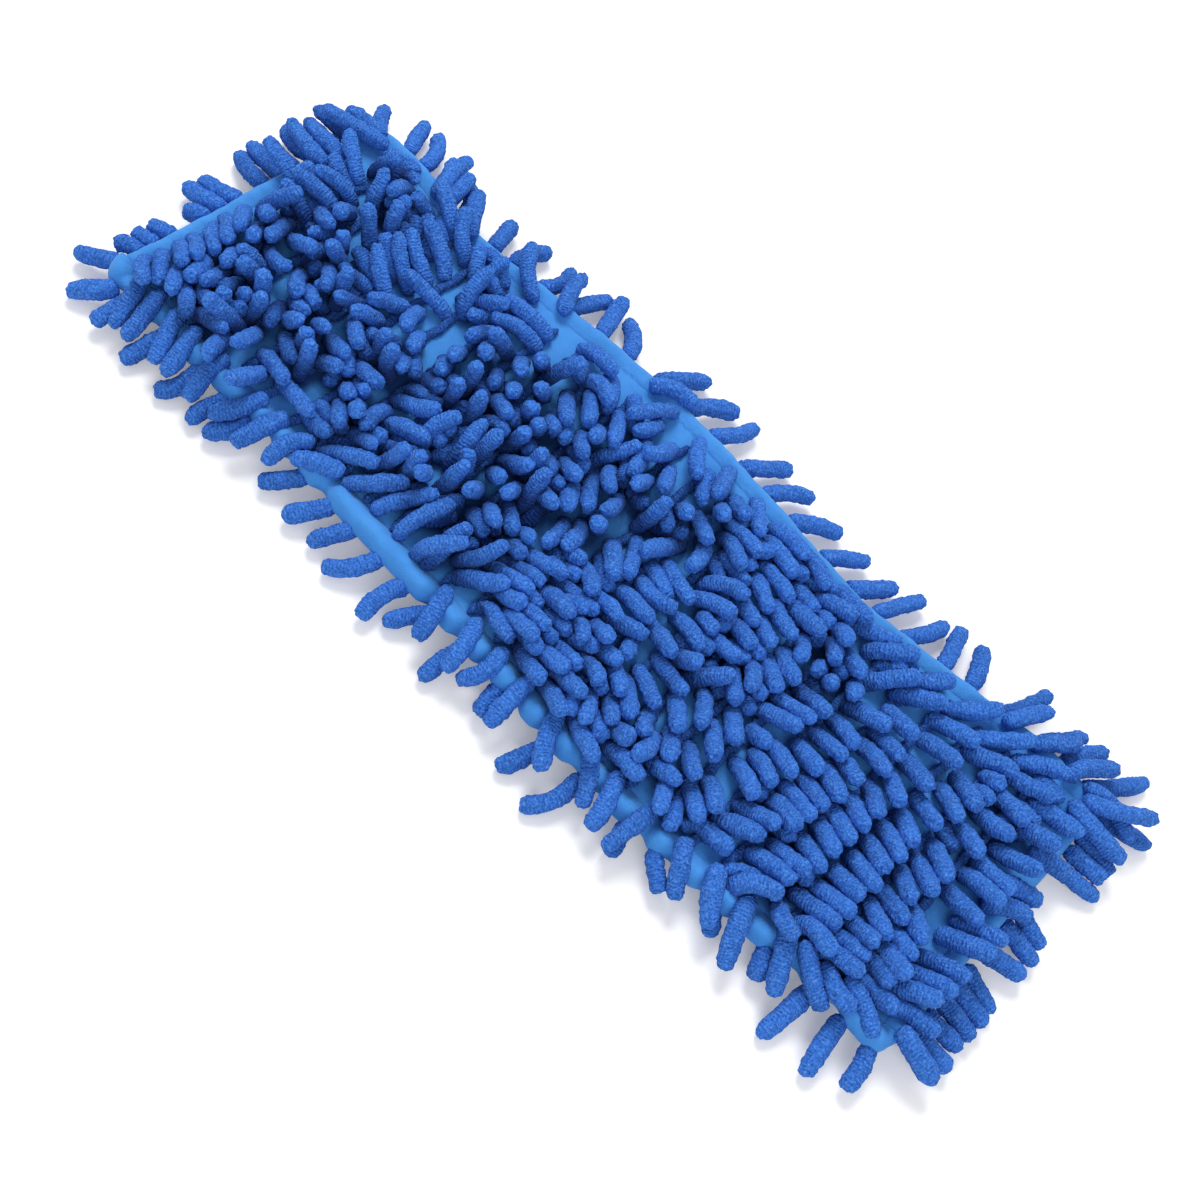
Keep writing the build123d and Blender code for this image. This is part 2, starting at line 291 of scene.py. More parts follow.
# Places where the strands part and the cloth shows: x, y and radius
PARTINGS = in_metres([
    (-115, 26, 8.5), (-113, 10, 7.8), (-139, 4, 5.8), (-196, 50, 6.6), (-20, -12, 7.2),
    (-107, -30, 5.5), (51, -29, 6.6), (102, -11, 6.2), (205, -16, 8.2), (40, 20, 5.8), (126, 40, 5.5),
    (8, 46, 5.8), (-186, -13, 5.2), (-26, 45, 4.5), (50, 2, 5),
])

# Strands of the fringe: place along the side, the way the tip points in degrees from +X, and the
# share of the rank's full length
FRINGE = {
    "fringe_lower_back": [
        (-223, 128, 0.85), (-205, 115, 0.95), (-196, 111, 1), (-181, 107, 1), (-163, 118, 0.8),
        (-141, 107, 0.85), (-128, 99, 0.9), (-114, 70, 0.9), (-95, 80, 0.9), (-76, 108, 1),
        (-60, 115, 1), (-43, 66, 1), (-23.5, 64, 1), (-8, 62, 1), (12, 58, 1), (29.5, 66, 0.92),
        (46, 55, 0.98), (66.5, 52, 0.92), (85, 56, 0.92), (101, 73, 1), (116.5, 58, 0.95),
        (139, 102, 1), (153.5, 106, 0.95), (169, 66, 1), (188, 58, 0.95), (202.5, 76, 1),
        (214, 59, 1.36), (222.5, 24, 1.1),
    ],
    "fringe_upper_back": [
        (-210, 176, 1.3), (-189, 197, 0.62), (-175, 113, 0.9), (-168, 117, 0.9), (-148, 125, 1),
        (-91, 116, 1), (-40, 42, 0.8), (173, 62, 0.85), (186.5, 52, 0.85), (208.5, 62, 1),
        (216.5, 40, 1.3),
    ],
    "fringe_lower_front": [
        (-217, -131, 1), (-212, -92, 0.9), (-187, -97, 1), (-165.5, -90, 1.05), (-145, -110, 0.95),
        (-131, -114, 1), (-97, -128, 0.95), (-80, -120, 1), (-66, -118, 0.95), (-50, -118, 1.2),
        (-34, -103, 1.15), (-17, -130, 1), (2, -104, 1.05), (24, -88, 0.7), (53, -104, 1.1),
        (70.5, -92, 1.3), (97, -75, 0.7), (112, -40, 0.8), (143, -60, 0.6), (168, -70, 0.65),
        (191, -92, 1.3), (205.5, -83, 1.25), (220.5, -73, 0.9),
    ],
    "fringe_upper_front": [
        (-211, -66, 1.05), (-201.5, -70, 1.05), (-189, -64, 1.05), (-177, -70, 1), (-158, -88, 1),
        (-134, -110, 1), (-120.5, -104, 1), (-104, -114, 0.95), (-86, -172, 0.9), (-20.5, -72, 1),
        (-3, -70, 1), (13, -82, 1), (30.5, -90, 1), (47.5, -66, 1), (65.5, -45, 1), (80.5, -70, 1),
        (101, -97, 1), (116.5, -58, 1), (134, -56, 1), (150, -70, 1.2), (168, -58, 1.1),
        (177, -24, 1.1), (197, -13, 0.95), (222.5, -4, 0.95),
    ],
    "fringe_lower_left": [
        (65, 184, 1), (56, 181, 0.95), (43.5, 183, 1), (31.5, 182, 1), (23.5, 180, 1),
        (13.5, 174, 1.05), (-1, 202, 0.85), (-10.5, 196, 0.9), (-21, 205, 0.45), (-39.5, 200, 0.5),
        (-49, 186, 0.5), (-57.5, 190, 0.55), (-66, 214, 0.85),
    ],
    "fringe_upper_left": [
        (69, 178, 0.8), (45, 172, 0.9), (38, 175, 1.1),
    ],
    "fringe_lower_right": [
        (61, 0, 0.95), (52.5, 3, 0.9), (41.5, 28, 1.15), (18.5, -30, 0.9), (6, 8, 0.95), (-10, 27, 1),
        (-19.5, -28, 0.95), (-28.5, 0, 0.95), (-38.5, 0, 0.95), (-48, 5, 0.9), (-57.5, 3, 1),
    ],
    "fringe_upper_right": [
        (72, 2, 1.05), (65, 3, 1.1), (34.5, 20, 0.62), (15.5, 18, 0.62), (2, 38, 0.72),
    ],
}

# Full length of the strands of each rank of the fringe
FRINGE_LENGTH = {
    "fringe_upper_front": 26.5, "fringe_lower_front": 22.5, "fringe_upper_back": 30,
    "fringe_lower_back": 31, "fringe_upper_left": 31, "fringe_lower_left": 27, "fringe_upper_right": 31,
    "fringe_lower_right": 23,
}

# How far each long edge of the cloth lies out of line: place along X, shift along Y and spread
BACK_WAVE = in_metres([
    (-205, 4.5, 25), (-148, -3, 22), (-30, 6.8, 58), (98, -3.5, 30), (195, 7.5, 40),
])
FRONT_WAVE = in_metres([
    (80, -4.6, 70), (-130, 2, 80), (200, 4, 35),
])

# The locks and partings are laid out from a line this far in front of the middle, as the camera
# sees them on a level this high
COMB_LINE = 0.003
COMB_LEVEL = 0.013


def settings(name):
    """The scene's group of settings of that name."""
    return getattr(bpy.context.scene, name)


def smooth_step(values, start, end):
    """0 before start, 1 after end, and a smooth rise between them."""
    share = np.clip((values - start) / (end - start), 0, 1)
    return share * share * (3 - 2 * share)


# Limp cloth


def edge_wave(places, x):
    """Sum of the smooth shifts that a list of places gives at x."""
    return sum(shift * np.exp(-(((x - at) / spread) ** 2)) for at, shift, spread in places)


def wave_shift(x, y):
    """How far limp cloth lies out of line at a place."""
    start, end = 0.25 * pad_half_width, pad_half_width
    back = edge_wave(BACK_WAVE, x) * smooth_step(y, start, end)
    return back + edge_wave(FRONT_WAVE, x) * smooth_step(-y, start, end)


def lay_out_of_line(points):
    """Move points of the lying refill so that its long edges wave as limp cloth does."""
    moved = points.copy()
    moved[..., 1] += wave_shift(points[..., 0], points[..., 1])
    return moved


def under_sight(x, y, z):
    """The place at height z, before the cloth's waves, that the camera sees at x, y of the lay."""
    stage = settings("refill_stage")
    rise = (z - COMB_LEVEL) / math.tan(stage.height)
    true_x = x + math.sin(stage.turn) * rise
    true_y = y + COMB_LINE - math.cos(stage.turn) * rise
    return true_x, true_y - wave_shift(true_x, true_y)


# Meshes and modifiers


def deselect():
    """Leave edit mode and select nothing."""
    if bpy.context.mode != "OBJECT":
        bpy.ops.object.mode_set(mode="OBJECT")
    bpy.ops.object.select_all(action="DESELECT")


def activate(piece):
    """Select one piece alone and make it the active one."""
    deselect()
    piece.select_set(True)
    bpy.context.view_layer.objects.active = piece


@contextmanager
def edit_mode(piece, select="SELECT"):
    """Edit one piece, with all or none of it selected, or with None what was selected before."""
    activate(piece)
    bpy.ops.object.mode_set(mode="EDIT")
    if select:
        bpy.ops.mesh.select_all(action=select)
    yield
    bpy.ops.object.mode_set(mode="OBJECT")


def face_outward(piece):
    """Turn every face of a closed piece, or all faces of a sheet alike, outwards."""
    with edit_mode(piece):
        bpy.ops.mesh.normals_make_consistent(inside=False)


def read_points(mesh):
    """The vertices of a mesh, one row each."""
    flat = np.zeros(len(mesh.vertices) * 3)
    mesh.vertices.foreach_get("co", flat)
    return flat.reshape(-1, 3)


def write_points(mesh, points):
    """Put the vertices of a mesh at these points."""
    mesh.vertices.foreach_set("co", np.asarray(points, dtype=np.float32).ravel())
    mesh.update()


def read_normals(faces):
    """The normals of a mesh's faces, one row each."""
    flat = np.zeros(len(faces) * 3)
    faces.foreach_get("normal", flat)
    return flat.reshape(-1, 3)


def carry(mesh, name, values):
    """Let a mesh's points carry a number of that name."""
    channel = mesh.attributes.new(name, "FLOAT", "POINT")
    channel.data.foreach_set("value", np.asarray(values, dtype=np.float32).ravel())


def shaped_grid(name, columns, rows, place):
    """A grid whose points stand where place(u, v) says, with u and v from 0 to 1."""
    deselect()
    bpy.ops.mesh.primitive_grid_add(x_subdivisions=columns, y_subdivisions=rows, size=1)
    piece = bpy.context.object
    piece.name = name
    shares = read_points(piece.data) + 0.5
    write_points(piece.data, place(shares[:, 0], shares[:, 1]))
    bpy.ops.object.shade_smooth()
    return piece


def add_modifier(piece, kind, **values):
    """Add a modifier with these settings."""
    modifier = piece.modifiers.new(kind.title(), kind)
    for name, value in values.items():
        setattr(modifier, name, value)
    return modifier


def subdivide(piece):
    """Finish a piece with a live subdivision surface."""
    add_modifier(piece, "SUBSURF", levels=1, render_levels=1)


def displace(piece, name, grain, height):
    """Raise and sink a piece's surface by soft noise with this grain, in the frame's own axes."""
    texture = bpy.data.textures.get(name) or bpy.data.textures.new(name, "CLOUDS")
    texture.noise_scale = grain
    texture.noise_depth = 1
    add_modifier(
        piece, "DISPLACE", texture=texture, texture_coords="LOCAL", strength=height, mid_level=0.5
    )


def finish_piece(piece, finish_name, slot, *nodes):
    """Give a piece its material, and let it ride and stand for its CAD nodes."""
    piece.data.materials.clear()
    piece.data.materials.append(finish(finish_name))
    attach(piece, BODY)
    if nodes:
        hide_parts(*nodes)


def repeat_mesh(name, base, placed, carried=()):
    """One piece that holds a copy of base for each set of placed points."""
    count, corners = len(placed), len(base.vertices)
    faces = [tuple(polygon.vertices) for polygon in base.polygons]
    every = [tuple(n * corners + v for v in face) for n in range(count) for face in faces]
    mesh = bpy.data.meshes.new(name)
    mesh.from_pydata(placed.reshape(-1, 3).tolist(), [], every)
    mesh.polygons.foreach_set("use_smooth", np.ones(len(every), dtype=bool))
    for label, values in carried:
        carry(mesh, label, values)
    mesh.update()
    piece = bpy.data.objects.new(name, mesh)
    bpy.context.scene.collection.objects.link(piece)
    return piece


# Materials


class Value:
    """A shader socket that takes part in Python expressions."""

    def __init__(self, tree, socket):
        self.tree = tree
        self.socket = socket

    def combine(self, operation, *terms):
        """The result of a Math node on these terms."""
        return self.tree.value("ShaderNodeMath", {"operation": operation}, dict(enumerate(terms)))

    def __add__(self, other):
        return self.combine("ADD", self, other)

    def __sub__(self, other):
        return self.combine("SUBTRACT", self, other)

    def __rsub__(self, other):
        return self.combine("SUBTRACT", other, self)

    def __mul__(self, other):
        return self.combine("MULTIPLY", self, other)

    __radd__ = __add__
    __rmul__ = __mul__

    def sine(self):
        return self.combine("SINE", self)

    def clamp(self):
        return self.tree.value("ShaderNodeClamp", {}, {0: self})


class Tree:
    """The node tree of one material or world."""

    def __init__(self, owner):
        owner.use_nodes = True
        self.nodes = owner.node_tree.nodes
        self.links = owner.node_tree.links
        self.nodes.clear()

    def node(self, kind, values, inputs):
        """Add a node, set its settings first, then its sockets by value or by link."""
        made = self.nodes.new(kind)
        for name, value in values.items():
            setattr(made, name, value)
        for name, value in inputs.items():
            source = getattr(value, "socket", value)
            if isinstance(source, bpy.types.NodeSocket):
                self.links.new(source, made.inputs[name])
            else:
                made.inputs[name].default_value = source
        return made

    def value(self, kind, values, inputs, output=0):
        """Add a node and take one of its outputs into an expression."""
        return Value(self, self.node(kind, values, inputs).outputs[output])

    def place(self):
        """The place on the piece, in the frame's own axes."""
        return self.value("ShaderNodeTexCoord", {}, {}, "Object")

    def noise(self, scale, detail):
        """Irregular variation from 0 to 1 over the piece."""
        inputs = {"Vector": self.place(), "Scale": scale, "Detail": detail, "Roughness": 0.6}
        return self.value("ShaderNodeTexNoise", {}, inputs)

    def carried(self, name):
        """A number that the mesh carries on its points."""
        return self.value("ShaderNodeAttribute", {"attribute_name": name}, {}, "Fac")

    def mix(self, factor, first, second):
        """A colour between two colours."""
        return self.value("ShaderNodeMix", {"data_type": "RGBA"}, {0: factor, 6: first, 7: second}, 2)

    def bump(self, height, distance, strength):
        """A normal from a height, with its depth in metres."""
        inputs = {"Height": height, "Distance": distance, "Strength": strength}
        return self.value("ShaderNodeBump", {}, inputs, "Normal")

    def seen_by(self, *rays):
        """1 for these kinds of rays and 0 for all others."""
        path = self.node("ShaderNodeLightPath", {}, {})
        return sum((Value(self, path.outputs[ray]) for ray in rays[1:]), Value(self, path.outputs[rays[0]]))

    def close(self, shader, kind="ShaderNodeOutputMaterial"):
        """Lead a shader to the tree's output."""
        self.node(kind, {}, {"Surface": shader.outputs[0]})


def opaque(tint):
    """A colour with its alpha."""
    return (*tint, 1.0)


def fabric(tree, tint, normal, roughness, sheen, sheen_tint):
    """Close a fabric's tree: a rough surface with a soft sheen."""
    inputs = {
        "Base Color": tint,
        "Normal": normal,
        "Roughness": roughness,
        "Sheen Weight": sheen,
        "Sheen Roughness": 0.45,
        "Sheen Tint": opaque(sheen_tint),
        "Specular IOR Level": 0.12,
    }
    tree.close(tree.node("ShaderNodeBsdfPrincipled", {}, inputs))


def chenille(tree):
    """Short fibres in loose rings round the strand, with painted shade where it is buried in the pile and
    in the hollows of its rings, tufts and lumps, and painted glints on its light flecks.
    """
    colours = settings("refill_colours")
    ring_pitch = 0.00150
    light = tree.carried("strand_light")
    flecks = tree.noise(1000, 3)
    tufts = tree.noise(580, 3)
    lumps = tree.noise(240, 2)
    rings = (tree.carried("along_strand") * (FULL_TURN / ring_pitch) + lumps * 14).sine() * 0.5 + 0.5
    dark_flecks = ((0.52 - flecks) * 5.0).clamp()
    light_flecks = ((flecks - 0.50) * 4.0).clamp()
    tone = tree.carried("strand_tone")
    # Painted light and shade: brighter where the strand lies open and on the raised parts of its rings,
    # tufts and lumps, darker deep in the pile, with a random tone for each strand
    level = light * 0.84 + tone * 0.20 + lumps * 0.26 + tufts * 0.46 + rings * 0.28 - 0.54
    base = tree.mix(level.clamp(), opaque(colours.pile_shade_and_fleck), opaque(colours.pile))
    dull = tree.mix(dark_flecks * 0.40, base, opaque(colours.pile_shade_and_fleck))
    # Light flecks towards the bright colour, with painted glints where the strand lies open
    tint = tree.mix(light_flecks * (light * 0.46 + 0.06), dull, opaque(colours.pile_fleck_and_glint))
    relief = rings * 0.46 + tufts * 1.6 + flecks * 0.7 + lumps * 0.5
    fabric(tree, tint, tree.bump(relief, 0.0011, 0.95), 0.95, 0.10, (0.35, 0.60, 1.0))


def knit(tree, pitch, under_pile=False):
    """Smooth knitted cloth, its loops at this pitch, lighter and darker over its loops, threads and
    patches, with painted shade in its wrinkles and where the pile covers it.
    """
    colours = settings("refill_colours")
    across, along = (tree.value("ShaderNodeSeparateXYZ", {}, {0: tree.place()}, axis) for axis in "XY")
    courses = (along * (FULL_TURN / (pitch * 0.8))).sine()
    loops = (across * (FULL_TURN / pitch)).sine() * courses * 0.5 + 0.5
    threads = tree.noise(1300, 3)
    patches = tree.noise(60, 3)
    wrinkles = tree.noise(150, 2)
    # Lighter and darker over the loops, threads and patches, with painted shade in the hollows of the
    # wrinkles
    lit = (loops * 0.20 + threads * 0.6 + patches * 0.9 + wrinkles * 0.5 - 0.62).clamp()
    tint = tree.mix(lit, opaque(colours.cloth_shade), opaque(colours.cloth))
    if under_pile:
        # Painted shade on the cloth where the pile covers it
        covered = 1 - tree.carried("open_cloth")
        tint = tree.mix(covered * 0.85, tint, opaque(colours.pile_shade_and_fleck))
    normal = tree.bump(loops * 0.5 + threads * 0.6 + wrinkles * 3.6, 0.0003, 0.7)
    fabric(tree, tint, normal, 0.85, 0.25, (0.55, 0.8, 1.0))


def sewing_thread(tree):
    """Twisted sewing thread."""
    colours = settings("refill_colours")
    fibres = tree.noise(2600, 2)
    tint = tree.mix(fibres, opaque(colours.cloth), opaque(colours.thread))
    fabric(tree, tint, tree.bump(fibres, 0.0002, 0.5), 0.7, 0.1, (1.0, 1.0, 1.0))


def wadding_fibre(tree):
    """White polyester wadding, seen only where a seam is opened."""
    fibres = tree.noise(400, 4)
    tint = tree.mix(fibres, opaque((0.62, 0.66, 0.70)), opaque((0.82, 0.85, 0.88)))
    fabric(tree, tint, tree.bump(fibres, 0.0006, 0.8), 0.95, 0.1, (1.0, 1.0, 1.0))


FINISHES = {
    "chenille_pile": (chenille, {}),
    "face_knit": (knit, {"pitch": 0.0011, "under_pile": True}),
    "tape_weave": (knit, {"pitch": 0.0009}),
    "pocket_weave": (knit, {"pitch": 0.0013}),
    "sewing_thread": (sewing_thread, {}),
    "wadding_fibre": (wadding_fibre, {}),
}


def finish(name):
    """The material of that name, made the first time it is asked for."""
    material = bpy.data.materials.get(name)
    if material is None:
        material = bpy.data.materials.new(name)
        make, options = FINISHES[name]
        make(Tree(material), **options)
    return material


# Padded cloth

# Steps of the cloth's mesh between two rows of strands and across the pad, and frames of its simulation
STEPS_A_ROW = 4
CLOTH_ROWS = 44
CLOTH_FRAMES = 20


def row_places():
    """Where the rows are sewn, along X."""
    return np.linspace(-1, 1, len(ROW_NODES)) * settings("refill_strands").last_row


def inflate(shell, sewn, reach):
    """Swell a closed shell by a cloth simulation, held where it is sewn."""
    start = read_points(shell.data)
    group = shell.vertex_groups.new(name="sewn")
    group.add([int(n) for n in np.flatnonzero(sewn)], 1.0, "REPLACE")
    cloth = add_modifier(shell, "CLOTH")
    cloth.settings.quality = 4
    cloth.settings.mass = 0.05
    cloth.settings.use_pressure = True
    cloth.settings.uniform_pressure_force = 4
    cloth.settings.vertex_group_mass = group.name
    cloth.settings.effector_weights.gravity = 0
    cloth.collision_settings.use_collision = False
    cloth.point_cache.frame_end = CLOTH_FRAMES
    for step in range(CLOTH_FRAMES):
        bpy.context.scene.frame_set(step + 1)
    activate(shell)
    bpy.ops.object.modifier_apply(modifier=cloth.name)
    bpy.context.scene.frame_set(1)
    moved = read_points(shell.data) - start
    length = np.linalg.norm(moved, axis=1, keepdims=True)
    capped = moved * np.minimum(1, reach / np.maximum(length, 1e-9))
    write_points(shell.data, start + capped)
    shell.vertex_groups.clear()


def rounded_corner(points, radius):
    """Pull the corners of a rectangle of points in to a radius."""
    inner = np.array([pad_half_length, pad_half_width]) - radius
    flat = points[:, :2]
    over = np.maximum(np.abs(flat) - inner, 0)
    length = np.linalg.norm(over, axis=1, keepdims=True)
    square = np.maximum(over.max(axis=1, keepdims=True), 1e-12)
    corner = np.where((over > 0).all(axis=1, keepdims=True), square / np.maximum(length, 1e-12), 1)
    points[:, :2] = np.sign(flat) * np.where(over > 0, inner + over * corner, np.abs(flat))
    return points


def padded_shell():
    """The cloth and wadding as one closed shell, quilted by the rows' seams."""
    cloth = settings("refill_cloth")
    rows = row_places()
    step = (rows[1] - rows[0]) / STEPS_A_ROW
    columns = 2 * math.ceil(pad_half_length / step)

    def top(u, v):
        x = np.clip((u - 0.5) * columns * step, -pad_half_length, pad_half_length)
        y = (v - 0.5) * 2 * pad_half_width
        flat = np.stack([x, y, np.full_like(x, face_top)], axis=1)
        return rounded_corner(flat, settings("refill_strands").corner_radius)

    shell = shaped_grid("padded_shell", columns, CLOTH_ROWS, top)
    with edit_mode(shell):
        bpy.ops.mesh.extrude_region_move(TRANSFORM_OT_translate={"value": (0, 0, back_bottom - face_top)})
    face_outward(shell)
    x, y, _ = read_points(shell.data).T
    off_row = np.abs(x[:, None] - rows[None, :]).min(axis=1)
    under_tape = np.abs(y) > pad_half_width - cloth.tape_width
    under_tape |= np.abs(x) > pad_half_length - cloth.tape_width
    inflate(shell, under_tape | (off_row < 0.1 * step), cloth.puff)
    return shell


def part_of_shell(shell, name, upward):
    """The face or the back of the padded shell, as a cloth of its own thickness."""
    activate(shell)
    bpy.ops.object.duplicate()
    panel = bpy.context.object
    panel.name = name
    other_side = read_normals(panel.data.polygons)[:, 2] * upward < 0.3
    with edit_mode(panel, "DESELECT"):
        pass
    panel.data.polygons.foreach_set("select", other_side)
    with edit_mode(panel, None):
        bpy.ops.mesh.delete(type="FACE")
    write_points(panel.data, lay_out_of_line(read_points(panel.data)))
    add_modifier(panel, "SOLIDIFY", thickness=settings("refill_cloth").cloth, offset=-1)
    subdivide(panel)
    return panel


def core_of_shell(shell):
    """The wadding inside the cloths, drawn in from the shell by the cloths' thickness."""
    gap = settings("refill_cloth").cloth * 1.08
    points = read_points(shell.data)
    middle = (face_top + back_bottom) / 2
    points[:, 2] -= np.sign(points[:, 2] - middle) * gap
    points[:, :2] *= 1 - gap / np.array([pad_half_length, pad_half_width])
    write_points(shell.data, lay_out_of_line(points))
    shell.name = "wadding_core"
    return shell


# Edge tape and stitches

# Steps of the tape's mesh along a long side and an end, and its swell outwards
LONG_STEPS, SHORT_STEPS = 300, 90
TAPE_BULGE = 0.0036


def side_path(side, count):
    """Points and outward directions along one side of the cloth, a long side with its corners."""
    radius = settings("refill_strands").corner_radius
    inner = Vector((pad_half_length - radius, pad_half_width - radius))
    share = np.linspace(0, 1, count)
    dx, dy = SIDES[side]
    if dx:
        places = np.stack([np.full(count, dx * pad_half_length), (share * 2 - 1) * inner.y], axis=1)
        return places, np.tile(np.array([dx, 0.0]), (count, 1))
    arc = radius * math.pi / 2
    total = 2 * inner.x + 2 * arc
    at = share * total
    turned = np.clip((arc - at) / radius, 0, None) + np.clip((at - arc - 2 * inner.x) / radius, 0, None)
    sign = np.where(at < total / 2, -1, 1)
    x = np.clip(at - arc - inner.x, -inner.x, inner.x)
    outward = np.stack([sign * np.sin(turned), dy * np.cos(turned)], axis=1)
    centre = np.stack([x, np.full(count, dy * inner.y)], axis=1)
    return centre + outward * radius, outward


def swell(side, along):
    """How far the tape swells at each place: on the front, fullest between the strands that cross it."""
    if side != "front":
        return 0.30 + 0.10 * np.sin(along * 61) + 0.06 * np.sin(along * 173 + 1)
    crossing = np.array([place for place, _, _ in FRINGE["fringe_upper_front"]]) / PER_METRE
    nearest = np.abs(along[:, None] - crossing[None, :]).min(axis=1)
    return 0.15 + 0.85 * smooth_step(nearest, 0.001, 0.0065)


def tape_section():
    """The folded tape from the face round to the back: distance outside the cloth's edge and height."""
    half = settings("refill_cloth").tape / 2
    width = settings("refill_cloth").tape_width
    top, bottom = face_top + half, back_bottom - half
    middle = (top + bottom) / 2
    return np.array(
        [
            (-width, top - 0.0008), (-0.66 * width, top - 0.0002), (-0.38 * width, top + 0.0002),
            (-0.14 * width, top + 0.0001), (0.2 * half, top - 0.0007), (half, top - 0.0019),
            (1.2 * half, middle), (half, bottom + 0.0014), (0.2 * half, bottom + 0.0004),
            (-0.3 * width, bottom), (-0.65 * width, bottom), (-width, bottom + 0.0001),
        ]
    )


def edge_tape(side):
    """One length of the edge tape with its swells and puckers."""
    cloth = settings("refill_cloth")
    section = tape_section()
    is_long = SIDES[side][1] != 0
    count = LONG_STEPS if is_long else SHORT_STEPS
    length = 2 * (pad_half_length if is_long else pad_half_width)
    places, outward = side_path(side, count + 1)

    def place(u, v):
        column = np.rint(u * count).astype(int)
        row = np.rint(v * (len(section) - 1)).astype(int)
        along = (u - 0.5) * length
        offset, height = section[row, 0], section[row, 1]
        rise = swell(side, along) * cloth.scallop * np.sin(np.clip(row / 5, 0, 1) * math.pi) ** 2
        pucker = 0.00018 * np.sin(along * 1450 + 2 * np.sin(along * 90)) * (row < 4)
        pucker += 0.00030 * np.sin(along * 560 + 3 * np.sin(along * 70) + row * 0.5) * (row > 0) * (row < 5)
        out = swell(side, along) * TAPE_BULGE * np.sin(np.clip((row - 1) / 9, 0, 1) * math.pi)
        flat = places[column] + outward[column] * (offset + out)[:, None]
        return lay_out_of_line(np.column_stack([flat, height + rise + pucker]))

    piece = shaped_grid(f"edge_binding_{side}", count, len(section) - 1, place)
    if side in ("back", "left"):
        with edit_mode(piece):
            bpy.ops.mesh.flip_normals()
    add_modifier(piece, "SOLIDIFY", thickness=cloth.tape, offset=0)
    subdivide(piece)
    finish_piece(piece, "tape_weave", "edge_tape", f"edge_tape_{side}")


def stitch_shape():
    """One stitch along X, plump in the middle and pulled in at both ends."""
    cloth = settings("refill_cloth")
    deselect()
    bpy.ops.mesh.primitive_uv_sphere_add(segments=6, ring_count=4, radius=0.5)
    stitch = bpy.context.object
    points = read_points(stitch.data)[:, [2, 0, 1]]
    points *= np.array([cloth.stitch_length, cloth.thread, cloth.thread])
    points[:, 2] -= 0.5 * cloth.thread * (2 * points[:, 0] / cloth.stitch_length) ** 2
    write_points(stitch.data, points)
    face_outward(stitch)
    return stitch


def stitches(name, lines):
    """Stitches in one piece along lines of points; each line has its own upward side, 1 or -1."""
    cloth = settings("refill_cloth")
    base = stitch_shape()
    shape = read_points(base.data)
    placed = []
    for line, upward in lines:
        steps = np.linalg.norm(np.diff(line, axis=0), axis=1)
        length = np.concatenate([[0], np.cumsum(steps)])
        count = max(1, int(length[-1] / cloth.stitch_pitch))
        for n in range(count):
            middle = (n + 0.5) / count * length[-1]
            ends = [middle - cloth.stitch_length / 2, middle + cloth.stitch_length / 2]
            start, end = (np.array([np.interp(e, length, line[:, k]) for k in range(3)]) for e in ends)
            ahead = (end - start) / max(np.linalg.norm(end - start), 1e-9)
            side = np.cross([0, 0, upward], ahead)
            side /= max(np.linalg.norm(side), 1e-9)
            axes = np.stack([ahead, side, np.cross(ahead, side)])
            placed.append(shape @ axes + (start + end) / 2)
    piece = repeat_mesh(name, base.data, np.array(placed))
    bpy.data.objects.remove(base)
    finish_piece(piece, "sewing_thread", "edge_tape")


def tape_stitches(side):
    """The seam along the tape's inner edge, on the face and on the back."""
    cloth = settings("refill_cloth")
    seam_margin, sunk = 0.0016, 0.0001
    places, outward = side_path(side, 200)
    flat = places - outward * (cloth.tape_width - seam_margin)
    lines = []
    for height, upward in ((face_top + cloth.tape - sunk, 1), (back_bottom - cloth.tape - sunk, -1)):
        line = np.column_stack([flat, np.full(len(flat), height)])
        lines.append((lay_out_of_line(line), upward))
    stitches(f"binding_stitches_{side}", lines)


# Pockets

# Columns and rows of a pocket's cloth, the width of its seamed border, the run of its drop, how far in
# its cloth is slack all over, and the thickness of the hem's cloth
POCKET_COLUMNS, POCKET_ROWS = 92, 104
POCKET_SEAM = 0.0065
POCKET_RUN = 0.0070
POCKET_SLACK = 0.03
HEM_CLOTH = 0.0006

# Insets of the two seams round a pocket and of the one along its mouth
POCKET_SEAMS = (0.0018, 0.0045)
HEM_SEAM = 0.0085


class PocketPlan:
    """Where a pocket's node lies: its box, its half width, its mouth, and which end it is at."""

    def __init__(self, node):
        self.low, self.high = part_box(node)
        self.end = 1 if node.endswith("right") else -1
        self.half = (self.high.y - self.low.y) / 2
        self.length = self.high.x - self.low.x
        self.mouth, self.far = (self.low.x, self.high.x)[:: self.end]


def pocket(side_name):
    """One pocket: a panel sewn on three sides, dropping to a slack tray, open at its mouth."""
    thickness = settings("refill_cloth").cloth
    plan = PocketPlan(f"pocket_{side_name}")
    floor = plan.low.z + thickness / 2 + 0.0001
    roof = plan.high.z - thickness / 2

    def place(u, v):
        from_mouth = u * plan.length
        y = (v - 0.5) * 2 * plan.half
        inward = np.minimum(plan.half - np.abs(y), plan.length - from_mouth)
        height = roof - smooth_step(inward, POCKET_SEAM, POCKET_SEAM + POCKET_RUN) * (roof - floor)
        slack = smooth_step(inward, POCKET_SEAM + POCKET_RUN, POCKET_SLACK)
        creases = 0.00045 * np.sin(y * 190 + 14 * from_mouth / plan.length) * np.sin(from_mouth * 75)
        height += slack * (0.0005 + creases)
        pucker = 0.00012 * np.sin((from_mouth + y) * 1500) * (inward < POCKET_SEAM)
        return np.column_stack([plan.mouth + plan.end * from_mouth, y, height + pucker])

    piece = shaped_grid(f"pocket_panel_{side_name}", POCKET_COLUMNS, POCKET_ROWS, place)
    face_outward(piece)
    add_modifier(piece, "SOLIDIFY", thickness=thickness, offset=0)
    subdivide(piece)
    finish_piece(piece, "pocket_weave", "pocket_cloth", f"pocket_{side_name}")


